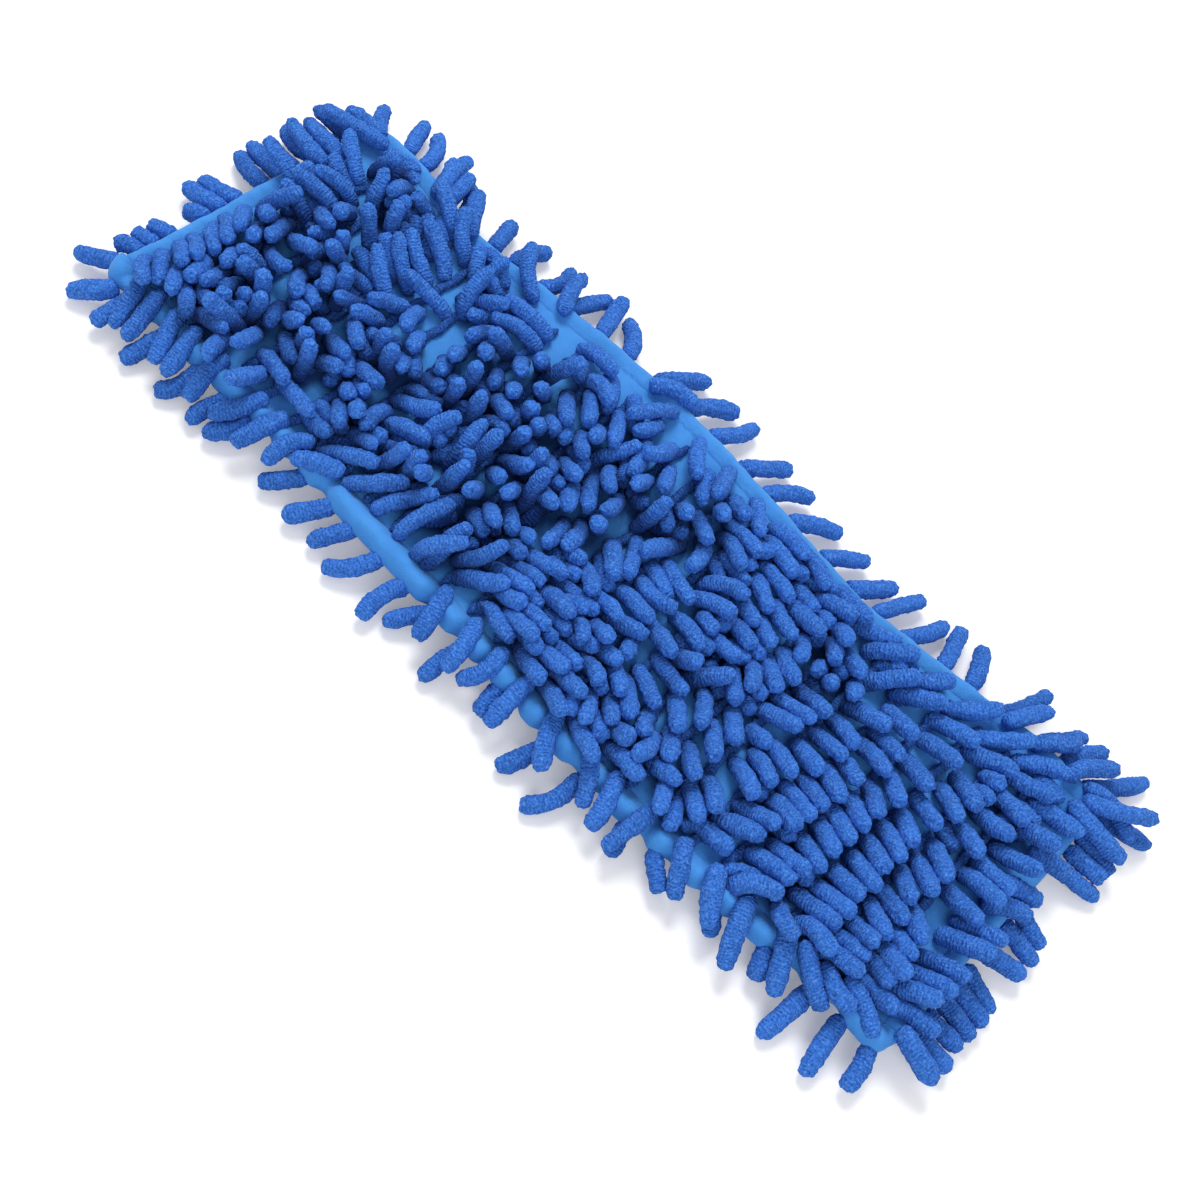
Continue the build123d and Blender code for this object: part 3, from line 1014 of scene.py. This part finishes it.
def pocket_hem(side_name):
    """The hem folded over the tray's mouth."""
    plan = PocketPlan(f"pocket_hem_{side_name}")
    width = plan.length
    outer, inner = plan.low.z + HEM_CLOTH / 2, plan.high.z - HEM_CLOTH / 2
    section = np.array(
        [
            (width, outer), (0.5 * width, outer), (0.12 * width, outer), (0.02 * width, outer + 0.0003),
            (0.0, (outer + inner) / 2), (0.02 * width, inner - 0.0003), (0.12 * width, inner),
            (0.5 * width, inner), (width, inner),
        ]
    )

    def place(u, v):
        row = np.rint(v * (len(section) - 1)).astype(int)
        y = (u - 0.5) * 2 * plan.half
        ripple = 0.0001 * np.sin(y * 700) * (row > 5)
        return np.column_stack([plan.mouth + plan.end * section[row, 0], y, section[row, 1] + ripple])

    piece = shaped_grid(f"pocket_hem_fold_{side_name}", 60, len(section) - 1, place)
    add_modifier(piece, "SOLIDIFY", thickness=HEM_CLOTH, offset=0)
    subdivide(piece)
    finish_piece(piece, "tape_weave", "pocket_cloth", f"pocket_hem_{side_name}")


def pocket_stitches(side_name):
    """The seams of a pocket: two lines round its closed sides and one along its hem."""
    plan = PocketPlan(f"pocket_{side_name}")
    under = plan.high.z - 0.0012
    lines = []
    for inset in POCKET_SEAMS:
        reach, edge = plan.far - plan.end * inset, plan.half - inset
        corners = [(plan.mouth, -edge), (reach, -edge), (reach, edge), (plan.mouth, edge)]
        lines.append((np.array([(x, y, under) for x, y in corners]), -1))
    hem = PocketPlan(f"pocket_hem_{side_name}")
    hem_line = plan.mouth + plan.end * HEM_SEAM
    hem_under = hem.low.z + settings("refill_cloth").thread
    lines.append((np.array([(hem_line, -hem.half, hem_under), (hem_line, hem.half, hem_under)]), -1))
    stitches(f"pocket_stitches_{side_name}", lines)


# Chenille strands

# The pile goes over from tousled to neat between these places along X, and its neat rows lie flatter
# from the first to the second of these distances across the refill
NEAT_FROM, NEAT_TO = 0.0, 0.11
NEAT_EDGE = (0.048, 0.064)

# How steeply strands rise in the neat rows and just over their seam elsewhere. Locks go over from
# lying to standing between the two rises of STANDING, and standing ones are shorter by this share.
SHINGLED = math.radians(33)
UPRIGHT = math.radians(66)
STANDING = (math.radians(40), math.radians(75))
STANDING_LOSS = 0.14

# A lock's place is where the camera sees its middle: at this share of a low strand's length, and so
# much nearer the tip of a standing one
MIDDLE_SHARE = 0.42
STANDING_SHARE = 0.40

# Strands rooted this far beyond the rows belong to the fringe, no root is nearer the edge than the
# margin, and roots lie this high over the face. The camera sees a strand turned by its rise, up to
# the lean limit.
END_BELT = 0.009
SIDE_BELT = 0.003
ROOT_MARGIN = 0.006
ROOT_HEIGHT = 0.0004
LEAN_LIMIT = math.radians(48)

# A seam is filled where no lock is rooted within the space, which is wider at the neat end in front
# of the line, and as far as the reach across the refill. Filling strands give way more than locks.
FILL_SPACE = 0.0064
NEAT_SPACE = 0.002
NEAT_LINE = 0.012
FILL_REACH = 0.0620
FILL_GIVE = 3.0
FILL_WIDTH = 0.95

# Random spread: of the locks' and the filling strands' lengths, as shares of the full length, of the
# filling and the fringe strands' headings, of the fringe's droop, and of the curl of all strands
LOCK_SPREAD = (0.94, 1.06)
FILL_SPREAD = (0.72, 0.84)
FILL_TURN = math.radians(14)
FRINGE_TURN = math.radians(2)
FRINGE_SAG = 0.04
CURL = math.radians(24)

# The fringe in degrees: the rise of its two ranks at their roots, and their droop along the front
# and along the other sides
RANK_START = {"upper": 14, "lower": -6}
RANK_DROOP = {"upper": -24, "lower": -14}
SIDE_DROOP = -9

# The upper rank's roots lie this high over the tape, and the lower rank's this far outside the edge
# and below the tape's middle
UPPER_LIFT = 0.0030
LOWER_OUT = 0.0012
LOWER_SINK = 0.0012
FRINGE_WIDTH = 1.02

# The least light on the strands of the fringe, which lie in the open
FRINGE_LIGHT = 0.75


class Strands:
    """Every strand: its CAD node, root, heading, rise at the root and on, length, width and give."""

    def __init__(self):
        self.node = []
        self.rows = []

    def add(self, node, root, heading, start_rise, rise, length, width, give):
        self.node.append(node)
        self.rows.append((*root, heading, start_rise, rise, length, width, give))

    def arrays(self):
        table = np.array(self.rows, dtype=float)
        return (table[:, :3], *table[:, 3:].T)


def neatness(x):
    """1 where the pile lies in neat rows, at the right end, and 0 where it is tousled."""
    return smooth_step(x, NEAT_FROM, NEAT_TO)


def full_length(x):
    """Length of a strand of the pile at a place along the refill."""
    sizes = settings("refill_strands")
    return sizes.tousled_length + (sizes.pile_length - sizes.tousled_length) * neatness(x)


def nearest_node(x, y):
    """The CAD node whose strands are sewn nearest to a place."""
    sizes = settings("refill_strands")
    if abs(x) > sizes.last_row + END_BELT:
        return "fringe_upper_right" if x > 0 else "fringe_upper_left"
    if abs(y) > sizes.front_end + SIDE_BELT:
        return "fringe_upper_back" if y > 0 else "fringe_upper_front"
    return ROW_NODES[int(np.argmin(np.abs(row_places() - x)))]


def true_heading(seen, rise):
    """The heading of a strand that the camera sees pointing this way on the floor."""
    stage = settings("refill_stage")
    lean = math.tan(min(rise, LEAN_LIMIT)) / math.tan(stage.height) * math.cos(seen - stage.turn)
    return seen - math.asin(lean)


def inside_edge(value, half):
    """A place kept off the cloth's edge by the root margin."""
    return min(max(value, ROOT_MARGIN - half), half - ROOT_MARGIN)


def lock_roots(rng):
    """One strand for every lock: its root, heading, rise and length."""
    radius = settings("refill_strands").diameter / 2
    found = []
    for x, y, degrees, tilt in (lock for zone in LOCKS.values() for lock in zone):
        x, y = x / PER_METRE, y / PER_METRE
        edge = smooth_step(abs(y), *NEAT_EDGE)
        rise = max(math.radians(tilt), SHINGLED * neatness(x) * (1 - edge))
        heading = true_heading(math.radians(degrees), rise)
        standing = smooth_step(rise, *STANDING)
        length = full_length(x) * (1 - STANDING_LOSS * standing) * rng.uniform(*LOCK_SPREAD)
        share = MIDDLE_SHARE + STANDING_SHARE * standing
        seen = face_top + radius + share * length * math.sin(rise)
        middle = under_sight(x, y, seen)
        back = share * length * math.cos(rise)
        root_x = inside_edge(middle[0] - back * math.cos(heading), pad_half_length)
        root_y = inside_edge(middle[1] - back * math.sin(heading), pad_half_width)
        found.append((root_x, root_y, heading, rise, length))
    return np.array(found)


def in_parting(x, y):
    """Whether a root would stand where the cloth is to show."""
    for at_x, at_y, radius in PARTINGS:
        seen = under_sight(at_x, at_y, face_top)
        if math.hypot(seen[0] - x, seen[1] - y) < radius:
            return True
    return False


def comb_at(locks, x, y):
    """Heading and rise of a strand rooted at x, y, from the locks round it, and the nearest's distance."""
    heading, rise = locks[:, 2], locks[:, 3]
    distance = (locks[:, 0] - x) ** 2 + (locks[:, 1] - y) ** 2
    reach = settings("refill_comb").reach
    weight = 1 / (distance + reach ** 2 / 4) ** 2
    weight /= weight.sum()
    mean = math.atan2((weight * np.sin(heading)).sum(), (weight * np.cos(heading)).sum())
    return mean, float((weight * rise).sum()), math.sqrt(distance.min())


def plan_pile(strands, rng):
    """The strands of the rows: the locks, and low strands on the seams between them."""
    sizes = settings("refill_strands")
    locks = lock_roots(rng)
    height = face_top + ROOT_HEIGHT
    for x, y, heading, rise, length in locks:
        neat = neatness(x)
        start = max(rise, UPRIGHT + (max(rise, 0.5 * SHINGLED) * 1.25 - UPRIGHT) * neat)
        root, width = (x, y, height), 0.94 + 0.05 * neat
        strands.add(nearest_node(x, y), root, heading, start, rise, length, width, 1.0)
    for node, x in zip(ROW_NODES, row_places()):
        neat = neatness(x)
        for step in range(sizes.per_row):
            y = step * sizes.strand_pitch - sizes.front_end
            space = FILL_SPACE + (NEAT_SPACE * neat if y < NEAT_LINE else 0)
            heading, rise, distance = comb_at(locks, x, y)
            if distance < space or abs(y) > FILL_REACH or in_parting(x, y):
                continue
            heading += rng.normal(0, FILL_TURN) * (1 - 0.7 * neat)
            length = full_length(x) * rng.uniform(*FILL_SPREAD) * (1 - 0.2 * neat)
            start = UPRIGHT * (0.6 - 0.35 * neat)
            rise *= 0.55 - 0.45 * neat
            strands.add(node, (x, y, height), heading, start, rise, length, FILL_WIDTH, FILL_GIVE)


def fringe_foot(side, place, inset):
    """A place on the rounded edge of the cloth, this far inside it."""
    dx, dy = SIDES[side]
    radius = settings("refill_strands").corner_radius
    if dx:
        return dx * (pad_half_length - inset), place
    over = max(0.0, abs(place) - (pad_half_length - radius))
    drop = radius - math.sqrt(max(0.0, radius ** 2 - over ** 2))
    return place, dy * (pad_half_width - inset - drop)


def plan_fringe(strands, rng, rank, side):
    """The strands of one rank along one side."""
    sizes = settings("refill_strands")
    node = f"fringe_{rank}_{side}"
    if rank == "upper":
        inset = sizes.end_inset if side in ("left", "right") else sizes.fringe_inset
        height = tape_top + UPPER_LIFT
    else:
        inset = -LOWER_OUT
        height = (tape_top + tape_bottom) / 2 - LOWER_SINK
    droop = math.radians(RANK_DROOP[rank] if side == "front" else SIDE_DROOP)
    start = math.radians(RANK_START[rank])
    for place, degrees, share in FRINGE[node]:
        heading = math.radians(degrees) + rng.normal(0, FRINGE_TURN)
        length = FRINGE_LENGTH[node] * share / PER_METRE
        root = (*fringe_foot(side, place / PER_METRE, inset), height)
        rise = droop + rng.normal(0, FRINGE_SAG)
        strands.add(node, root, heading, start, rise, length, FRINGE_WIDTH, 1.0)


def aim_paths(strands, rng):
    """The path that each strand would take if it were alone."""
    root, heading, start_rise, rise, length, width, give = strands.arrays()
    count = settings("refill_comb").joints
    step = length / (count - 1)
    paths = np.zeros((len(root), count, 3))
    paths[:, 0] = root
    tousled = 1 - 0.6 * neatness(root[:, 0])
    curl = rng.normal(0, CURL, len(root)) * tousled
    for n in range(1, count):
        share = (n - 0.5) / (count - 1)
        tilt = start_rise + (rise - start_rise) * smooth_step(share, 0.0, 0.5)
        turn = heading + curl * (share - 0.4) * 2
        ahead = np.stack([np.cos(tilt) * np.cos(turn), np.cos(tilt) * np.sin(turn), np.sin(tilt)], axis=1)
        paths[:, n] = paths[:, n - 1] + ahead * step[:, None]
    return paths, step, width, give


def tree_of(points):
    """A search tree of points."""
    tree = KDTree(len(points))
    for n, point in enumerate(points):
        tree.insert(point, n)
    tree.balance()
    return tree


def on_floor(points):
    """The same points at height 0."""
    return points * np.array([1, 1, 0])


def close_pairs(points, owners, reach):
    """Index pairs of points of different strands that are within reach of each other."""
    tree = tree_of(points)
    first, second = [], []
    for n, point in enumerate(points):
        for _, m, _ in tree.find_range(point, reach):
            if m > n and owners[m] != owners[n]:
                first.append(n)
                second.append(m)
    return np.array(first), np.array(second)


def unit(vectors):
    """Vectors at length 1."""
    return vectors / np.maximum(np.linalg.norm(vectors, axis=-1, keepdims=True), 1e-9)


def keep_off_cloth(points, radius):
    """Lift points out of the bound cloth and off the floor."""
    low = np.array([-pad_half_length, -pad_half_width, back_bottom])
    high = np.array([pad_half_length, pad_half_width, face_top])
    nearest = np.clip(points, low, high)
    away = points - nearest
    distance = np.linalg.norm(away, axis=-1, keepdims=True)
    inside = distance < 1e-6
    outward = np.where(inside, UPWARD, unit(away))
    nearest[..., 2] = np.where(inside[..., 0], face_top, nearest[..., 2])
    clear = radius + tape_proud * 0.5
    points = np.where(distance < clear, nearest + outward * clear, points)
    points[..., 2] = np.maximum(points[..., 2], radius[..., 0])
    return points


def part_strands(points):
    """Push points out of the camera's sight of the places where the cloth shows."""
    for x, y, radius in PARTINGS:
        away = points[..., :2] - np.stack(under_sight(x, y, points[..., 2]), axis=-1)
        distance = np.linalg.norm(away, axis=-1, keepdims=True)
        push = np.clip(radius - distance, 0, None) / np.maximum(distance, 1e-6)
        points[..., :2] += 0.5 * away * push
    return points


# The settling: how strongly strands are drawn back to their aims, more at first than at the end, the
# share of an overlap that a round undoes, the pull towards even bends, how free the first point after
# the root is, the radius at which a strand meets the cloth, in diameters, and after how many rounds
# and within how many half diameters neighbours are looked up
SPRING_AT_FIRST = 0.30
SPRING_AT_LAST = 0.04
OVERLAP_UNDONE = 0.8
EVEN_BEND = 0.12
NEAR_ROOT_FREE = 0.35
CONTACT = 0.47
LOOK_UP_ROUNDS = 6
LOOK_UP_REACH = 3


def settle(aims, step, width, give):
    """Let the strands push each other aside until they lie against one another."""
    comb, sizes = settings("refill_comb"), settings("refill_strands")
    count, joints = aims.shape[:2]
    paths = aims.copy()
    owners = np.repeat(np.arange(count), joints)
    free = np.ones((count, joints))
    free[:, 0] = 0
    free[:, 1] = NEAR_ROOT_FREE
    weight = (free * give[:, None]).ravel()
    half = np.repeat(width, joints) * sizes.diameter * comb.gap / 2
    radius = sizes.diameter * CONTACT * width[:, None, None]
    for turn in range(comb.rounds):
        spring = SPRING_AT_FIRST * (1 - turn / comb.rounds) + SPRING_AT_LAST
        for n in range(1, joints):
            wanted = paths[:, n - 1] + aims[:, n] - aims[:, n - 1]
            paths[:, n] += spring * (wanted - paths[:, n])
        flat = paths.reshape(-1, 3)
        if turn % LOOK_UP_ROUNDS == 0:
            first, second = close_pairs(flat, owners, half.max() * LOOK_UP_REACH)
            apart = half[first] + half[second]
        gap = flat[first] - flat[second]
        distance = np.maximum(np.linalg.norm(gap, axis=1), 1e-7)
        push = np.clip(apart - distance, 0, None) / distance
        mass = np.maximum(weight[first] + weight[second], 1e-6)
        move = gap * (OVERLAP_UNDONE * push / mass)[:, None]
        for axis in range(3):
            change = np.bincount(first, move[:, axis] * weight[first], len(flat))
            change -= np.bincount(second, move[:, axis] * weight[second], len(flat))
            flat[:, axis] += change
        paths = part_strands(flat.reshape(count, joints, 3))
        middle = (paths[:, :-2] + paths[:, 2:]) / 2
        paths[:, 1:-1] += EVEN_BEND * (middle - paths[:, 1:-1])
        paths[:, 1:] = keep_off_cloth(paths[:, 1:], radius)
        paths[:, 0] = aims[:, 0]
        for n in range(1, joints):
            paths[:, n] = paths[:, n - 1] + unit(paths[:, n] - paths[:, n - 1]) * step[:, None]
    return paths


def along_paths(paths, share):
    """Points of smooth curves through the paths at a share of their length, and their directions."""
    last = paths.shape[1] - 1
    at = share * last
    n = min(int(at), last - 1)
    t = at - n
    p1, p2 = paths[:, n], paths[:, n + 1]
    p0 = paths[:, n - 1] if n else 2 * p1 - p2
    p3 = paths[:, n + 2] if n + 2 <= last else 2 * p2 - p1
    slope1, slope2 = (p2 - p0) / 2, (p3 - p1) / 2
    a, b = 2 * (p1 - p2) + slope1 + slope2, 3 * (p2 - p1) - 2 * slope1 - slope2
    points = ((a * t + b) * t + slope1) * t + p1
    return points, unit((3 * a * t + 2 * b) * t + slope1)


# Where a strand's rings of points lie along it and how wide they are, how much the cage is wider than
# the smooth strand it makes, and the random spread of the strands' and of their rings' widths
RING_SHARES = np.array([0.0, 0.15, 0.36, 0.57, 0.78, 0.93, 1.0])
RING_WIDTHS = (0.80, 1.0, 1.0, 1.0, 1.0, 0.90, 0.46)
CAGE_SWELL = 1.108
STRAND_SPREAD = (0.92, 1.03)
RING_SPREAD = (0.94, 1.06)


def strand_cage():
    """One strand as a low cage of eight sides, standing on the origin with unit length and radius."""
    deselect()
    bpy.ops.mesh.primitive_cylinder_add(vertices=8, radius=1, depth=1, location=(0, 0, 0.5))
    cage = bpy.context.object
    cage.name = "strand_cage"
    bpy.ops.object.transform_apply(location=True, rotation=False, scale=False)
    with edit_mode(cage, None):
        bpy.ops.mesh.select_mode(type="EDGE")
        bpy.ops.mesh.select_all(action="DESELECT")
    height = read_points(cage.data)[:, 2]
    upright = [abs(height[edge.vertices[0]] - height[edge.vertices[1]]) > 0.5 for edge in cage.data.edges]
    cage.data.edges.foreach_set("select", upright)
    with edit_mode(cage, None):
        bpy.ops.mesh.subdivide(number_cuts=len(RING_SHARES) - 2)
    return cage


def cage_rings(cage_points):
    """Which ring each point of the cage belongs to."""
    return np.rint(cage_points[:, 2] * (len(RING_SHARES) - 1)).astype(int)


def strand_points(cage_points, paths, width, rng):
    """The cage's points bent along every strand, with gentle waists of their own."""
    radius = settings("refill_strands").diameter / 2 * CAGE_SWELL
    count = len(paths)
    placed = np.zeros((count, len(cage_points), 3))
    thickness = rng.uniform(*STRAND_SPREAD, count) * width
    side = None
    for n, (share, ring_width) in enumerate(zip(RING_SHARES, RING_WIDTHS)):
        middle, ahead = along_paths(paths, share)
        if side is None:
            side = unit(np.cross(UPWARD, ahead) + 1e-6)
        side = unit(side - ahead * (side * ahead).sum(axis=1, keepdims=True))
        up = np.cross(ahead, side)
        waist = thickness * rng.uniform(*RING_SPREAD, count) * ring_width * radius
        own = cage_rings(cage_points) == n
        x, y = cage_points[own, 0], cage_points[own, 1]
        rim = side[:, None] * x[None, :, None] + up[:, None] * y[None, :, None]
        placed[:, own] = middle[:, None] + rim * waist[:, None, None]
    return placed


def lights_on_strands(paths, placed, shares):
    """How open each point of each strand lies, from 0 deep in the pile to 1 at its local top."""
    reach, shallow, deep = 0.0095, 0.0060, 0.0200
    flat = paths.reshape(-1, 3)
    floor = on_floor(flat)
    tree = tree_of(floor)
    highest = [max(flat[m][2] for _, m, _ in tree.find_range(point, reach)) for point in floor]
    tops = np.array(highest).reshape(paths.shape[:2])
    at = shares * (paths.shape[1] - 1)
    low = np.minimum(at.astype(int), paths.shape[1] - 2)
    part = (at - low)[None, :]
    local = tops[:, low] * (1 - part) + tops[:, low + 1] * part
    radius = settings("refill_strands").diameter / 2
    return 1 - smooth_step(local + radius - placed[..., 2], shallow, deep)


def shade_cloth(face, paths):
    """Note on the face how little of the pile lies over each of its points, from 0 to 1."""
    reach, thin, thick = 0.0080, 2.3, 4.3
    tree = tree_of(on_floor(paths.reshape(-1, 3)))
    places = on_floor(read_points(face.data))
    cover = [sum(1 - distance / reach for _, _, distance in tree.find_range(at, reach)) for at in places]
    carry(face.data, "open_cloth", 1 - smooth_step(np.array(cover), thin, thick))


def all_strands():
    """Plan, comb and settle all strands: the cage, their nodes, their points and what those carry."""
    rng = np.random.default_rng(settings("refill_comb").seed)
    strands = Strands()
    plan_pile(strands, rng)
    for rank in ("upper", "lower"):
        for side in SIDES:
            plan_fringe(strands, rng, rank, side)
    aims, step, width, give = aim_paths(strands, rng)
    paths = lay_out_of_line(settle(aims, step, width, give))
    shade_cloth(bpy.data.objects["face_panel"], paths)
    cage = strand_cage()
    cage_points = read_points(cage.data)
    placed = strand_points(cage_points, paths, width, rng)
    lengths = step * (paths.shape[1] - 1)
    shares = RING_SHARES[cage_rings(cage_points)]
    tones = np.repeat(rng.uniform(0, 1, len(lengths))[:, None], len(cage_points), axis=1)
    lights = lights_on_strands(paths, placed, shares)
    outside = np.array([node.startswith("fringe_") for node in strands.node])
    lights[outside] = np.maximum(lights[outside], FRINGE_LIGHT)
    carried = {
        "along_strand": (1 - shares)[None, :] * lengths[:, None],
        "strand_tone": tones,
        "strand_light": lights,
    }
    return cage, np.array(strands.node), placed, carried


def row_spine(x):
    """The yarn sewn down along one row, under the roots of its strands."""
    sizes = settings("refill_strands")
    steps, around, overrun = 34, 6, 0.003
    # The spine's painted light, an even low level, also used as its tone
    even_light = 0.42
    span = (sizes.per_row - 1) * sizes.strand_pitch
    radius = sizes.spine / 2

    def place(u, v):
        y = u * (span + 2 * overrun) - sizes.front_end - overrun
        width = radius * (1 + 0.12 * np.sin(u * 90 + x * 700)) * np.where((u < 0.01) | (u > 0.99), 0.35, 1)
        flat = x + 0.0006 * np.sin(u * 41 + x * 900) + width * np.cos(v * FULL_TURN)
        return np.column_stack([flat, y, face_top + 0.6 * radius + width * np.sin(v * FULL_TURN) * 0.9])

    spine = shaped_grid("row_spine", steps, around, place)
    with edit_mode(spine):
        bpy.ops.mesh.remove_doubles(threshold=0.0001)
        bpy.ops.mesh.select_all(action="DESELECT")
        bpy.ops.mesh.select_mode(type="EDGE")
        bpy.ops.mesh.select_non_manifold()
        bpy.ops.mesh.fill_holes(sides=around)
    face_outward(spine)
    points = read_points(spine.data)
    carry(spine.data, "along_strand", points[:, 1])
    for label in ("strand_tone", "strand_light"):
        carry(spine.data, label, np.full(len(points), even_light))
    write_points(spine.data, lay_out_of_line(points))
    return spine


# Grain of the two textures that raise a strand's surface, and their height
STRAND_GRAINS = {"strand_lumps": 0.0045, "strand_fuzz": 0.0017}
GRAIN_HEIGHT = 0.0015


def strand_piece(cage, name, node, placed, carried):
    """The strands of one CAD node as one piece, finished by subdivision and soft lumps."""
    piece = repeat_mesh(name, cage.data, placed, carried.items())
    if node in ROW_NODES:
        spine = row_spine(row_places()[ROW_NODES.index(node)])
        activate(piece)
        spine.select_set(True)
        bpy.ops.object.join()
    for texture, grain in STRAND_GRAINS.items():
        subdivide(piece)
        displace(piece, texture, grain, GRAIN_HEIGHT)
    finish_piece(piece, "chenille_pile", "chenille", node)


# The stage

# Places and widths of the two lights, the side of the floor, and the width of the camera's film in
# millimetres
KEY_LIGHT = ((-1.2, 1.2, 2.6), 1.5)
FILL_LIGHT = ((1.6, -1.8, 2.0), 2.0)
FLOOR_SIDE = 6
FILM_WIDTH = 36


def area_light(name, place, width, power):
    """A round soft light that points at the refill."""
    lamp = bpy.data.lights.new(name, "AREA")
    lamp.shape = "DISK"
    lamp.size = width
    lamp.energy = power
    made = bpy.data.objects.new(name, lamp)
    bpy.context.scene.collection.objects.link(made)
    made.location = place
    made.rotation_mode = "QUATERNION"
    made.rotation_quaternion = (-Vector(place)).to_track_quat("-Z", "Y")


def pale_floor():
    """Pale floor that keeps shadows and reaches white for the camera."""
    material = bpy.data.materials.new("pale_floor")
    tree = Tree(material)
    diffuse = tree.node("ShaderNodeBsdfDiffuse", {}, {"Color": opaque((0.92, 0.92, 0.92))})
    lift = tree.seen_by("Is Camera Ray", "Is Glossy Ray", "Is Transmission Ray").clamp() * 0.20
    glow = tree.node("ShaderNodeEmission", {}, {"Color": opaque((1.0, 1.0, 1.0)), "Strength": lift})
    tree.close(tree.node("ShaderNodeAddShader", {}, {0: diffuse.outputs[0], 1: glow.outputs[0]}))
    return material


def light_world(strength):
    """Even pale light all round, which the camera sees as white."""
    world = bpy.data.worlds.new("studio")
    tree = Tree(world)
    power = tree.seen_by("Is Camera Ray") * (1 - strength) + strength
    back = tree.node("ShaderNodeBackground", {}, {"Color": opaque((1.0, 1.0, 1.0)), "Strength": power})
    tree.close(back, "ShaderNodeOutputWorld")
    bpy.context.scene.world = world


def place_camera(stage):
    """The camera, turned about the refill and about its own axis."""
    turn, height, roll = stage.turn, stage.height, stage.roll
    out = math.cos(height)
    back = Vector((math.sin(turn) * out, -math.cos(turn) * out, math.sin(height)))
    right = Vector((math.cos(turn), math.sin(turn), 0))
    up = back.cross(right)
    rolled_right = right * math.cos(roll) + up * math.sin(roll)
    rolled_up = up * math.cos(roll) - right * math.sin(roll)
    lens = bpy.data.cameras.new("camera")
    lens.lens = stage.lens
    lens.sensor_width = FILM_WIDTH
    camera = bpy.data.objects.new("camera", lens)
    bpy.context.scene.collection.objects.link(camera)
    turned = Matrix((rolled_right, rolled_up, back)).transposed().to_4x4()
    camera.matrix_world = Matrix.Translation(Vector(stage.aim) + back * stage.distance) @ turned
    bpy.context.scene.camera = camera


# Operators


class REFILL_OT_stage(bpy.types.Operator):
    """Build the floor, the lights and the camera"""

    bl_idname = "refill.stage"
    bl_label = "Stage"

    def execute(self, context):
        stage = settings("refill_stage")
        deselect()
        bpy.ops.mesh.primitive_plane_add(size=FLOOR_SIDE)
        floor = bpy.context.object
        floor.name = "floor"
        floor.data.materials.append(pale_floor())
        light_world(stage.sky)
        area_light("key", *KEY_LIGHT, stage.key_power)
        area_light("fill", *FILL_LIGHT, stage.fill_power)
        place_camera(stage)
        context.scene.view_settings.view_transform = "Standard"
        return {"FINISHED"}


class REFILL_OT_padded_cloth(bpy.types.Operator):
    """Build the face, the backing and the wadding between them"""

    bl_idname = "refill.padded_cloth"
    bl_label = "Padded cloth"

    def execute(self, context):
        shell = padded_shell()
        face = part_of_shell(shell, "face_panel", 1)
        back = part_of_shell(shell, "back_panel", -1)
        core = core_of_shell(shell)
        finish_piece(face, "face_knit", "pad_cloth", "face_cloth")
        finish_piece(back, "pocket_weave", "pad_cloth", "backing_cloth")
        finish_piece(core, "wadding_fibre", "wadding", "wadding")
        return {"FINISHED"}


class REFILL_OT_edge_tape(bpy.types.Operator):
    """Build the tape folded round the edge and its seams"""

    bl_idname = "refill.edge_tape"
    bl_label = "Edge tape"

    def execute(self, context):
        for side in SIDES:
            edge_tape(side)
            tape_stitches(side)
        return {"FINISHED"}


class REFILL_OT_pockets(bpy.types.Operator):
    """Build the two pockets with their hems and seams"""

    bl_idname = "refill.pockets"
    bl_label = "Pockets"

    def execute(self, context):
        for side_name in ("left", "right"):
            pocket(side_name)
            pocket_hem(side_name)
            pocket_stitches(side_name)
        return {"FINISHED"}


class REFILL_OT_strands(bpy.types.Operator):
    """Build the chenille rows and the fringe, settled against each other"""

    bl_idname = "refill.strands"
    bl_label = "Chenille strands"

    def execute(self, context):
        cage, nodes, placed, carried = all_strands()
        for node in sorted(set(nodes)):
            own = nodes == node
            name = node.replace("chenille_row", "pile_row").replace("fringe", "tassels")
            own_carried = {label: values[own] for label, values in carried.items()}
            strand_piece(cage, name, node, placed[own], own_carried)
        bpy.data.objects.remove(cage)
        return {"FINISHED"}


OPERATORS = [
    REFILL_OT_stage,
    REFILL_OT_padded_cloth,
    REFILL_OT_edge_tape,
    REFILL_OT_pockets,
    REFILL_OT_strands,
]


class REFILL_PT_panel(bpy.types.Panel):
    """The steps that build the refill, in order"""

    bl_idname = "REFILL_PT_panel"
    bl_label = "Chenille refill"
    bl_space_type = "VIEW_3D"
    bl_region_type = "UI"
    bl_category = "Refill"

    def draw(self, context):
        for operator in OPERATORS:
            self.layout.operator(operator.bl_idname)


def register():
    """Make the settings, the operators and the panel known."""
    for name, group in PROPERTY_GROUPS.items():
        bpy.utils.register_class(group)
        setattr(bpy.types.Scene, name, bpy.props.PointerProperty(type=group))
    for kind in [*OPERATORS, REFILL_PT_panel]:
        bpy.utils.register_class(kind)


def unregister():
    """Take the settings, the operators and the panel away again."""
    for kind in reversed([*OPERATORS, REFILL_PT_panel]):
        bpy.utils.unregister_class(kind)
    for name, group in reversed(PROPERTY_GROUPS.items()):
        delattr(bpy.types.Scene, name)
        bpy.utils.unregister_class(group)


def main():
    """Build everything."""
    register()
    bpy.ops.refill.stage()
    bpy.ops.refill.padded_cloth()
    bpy.ops.refill.edge_tape()
    bpy.ops.refill.pockets()
    bpy.ops.refill.strands()


if __name__ == "__main__":
    main()
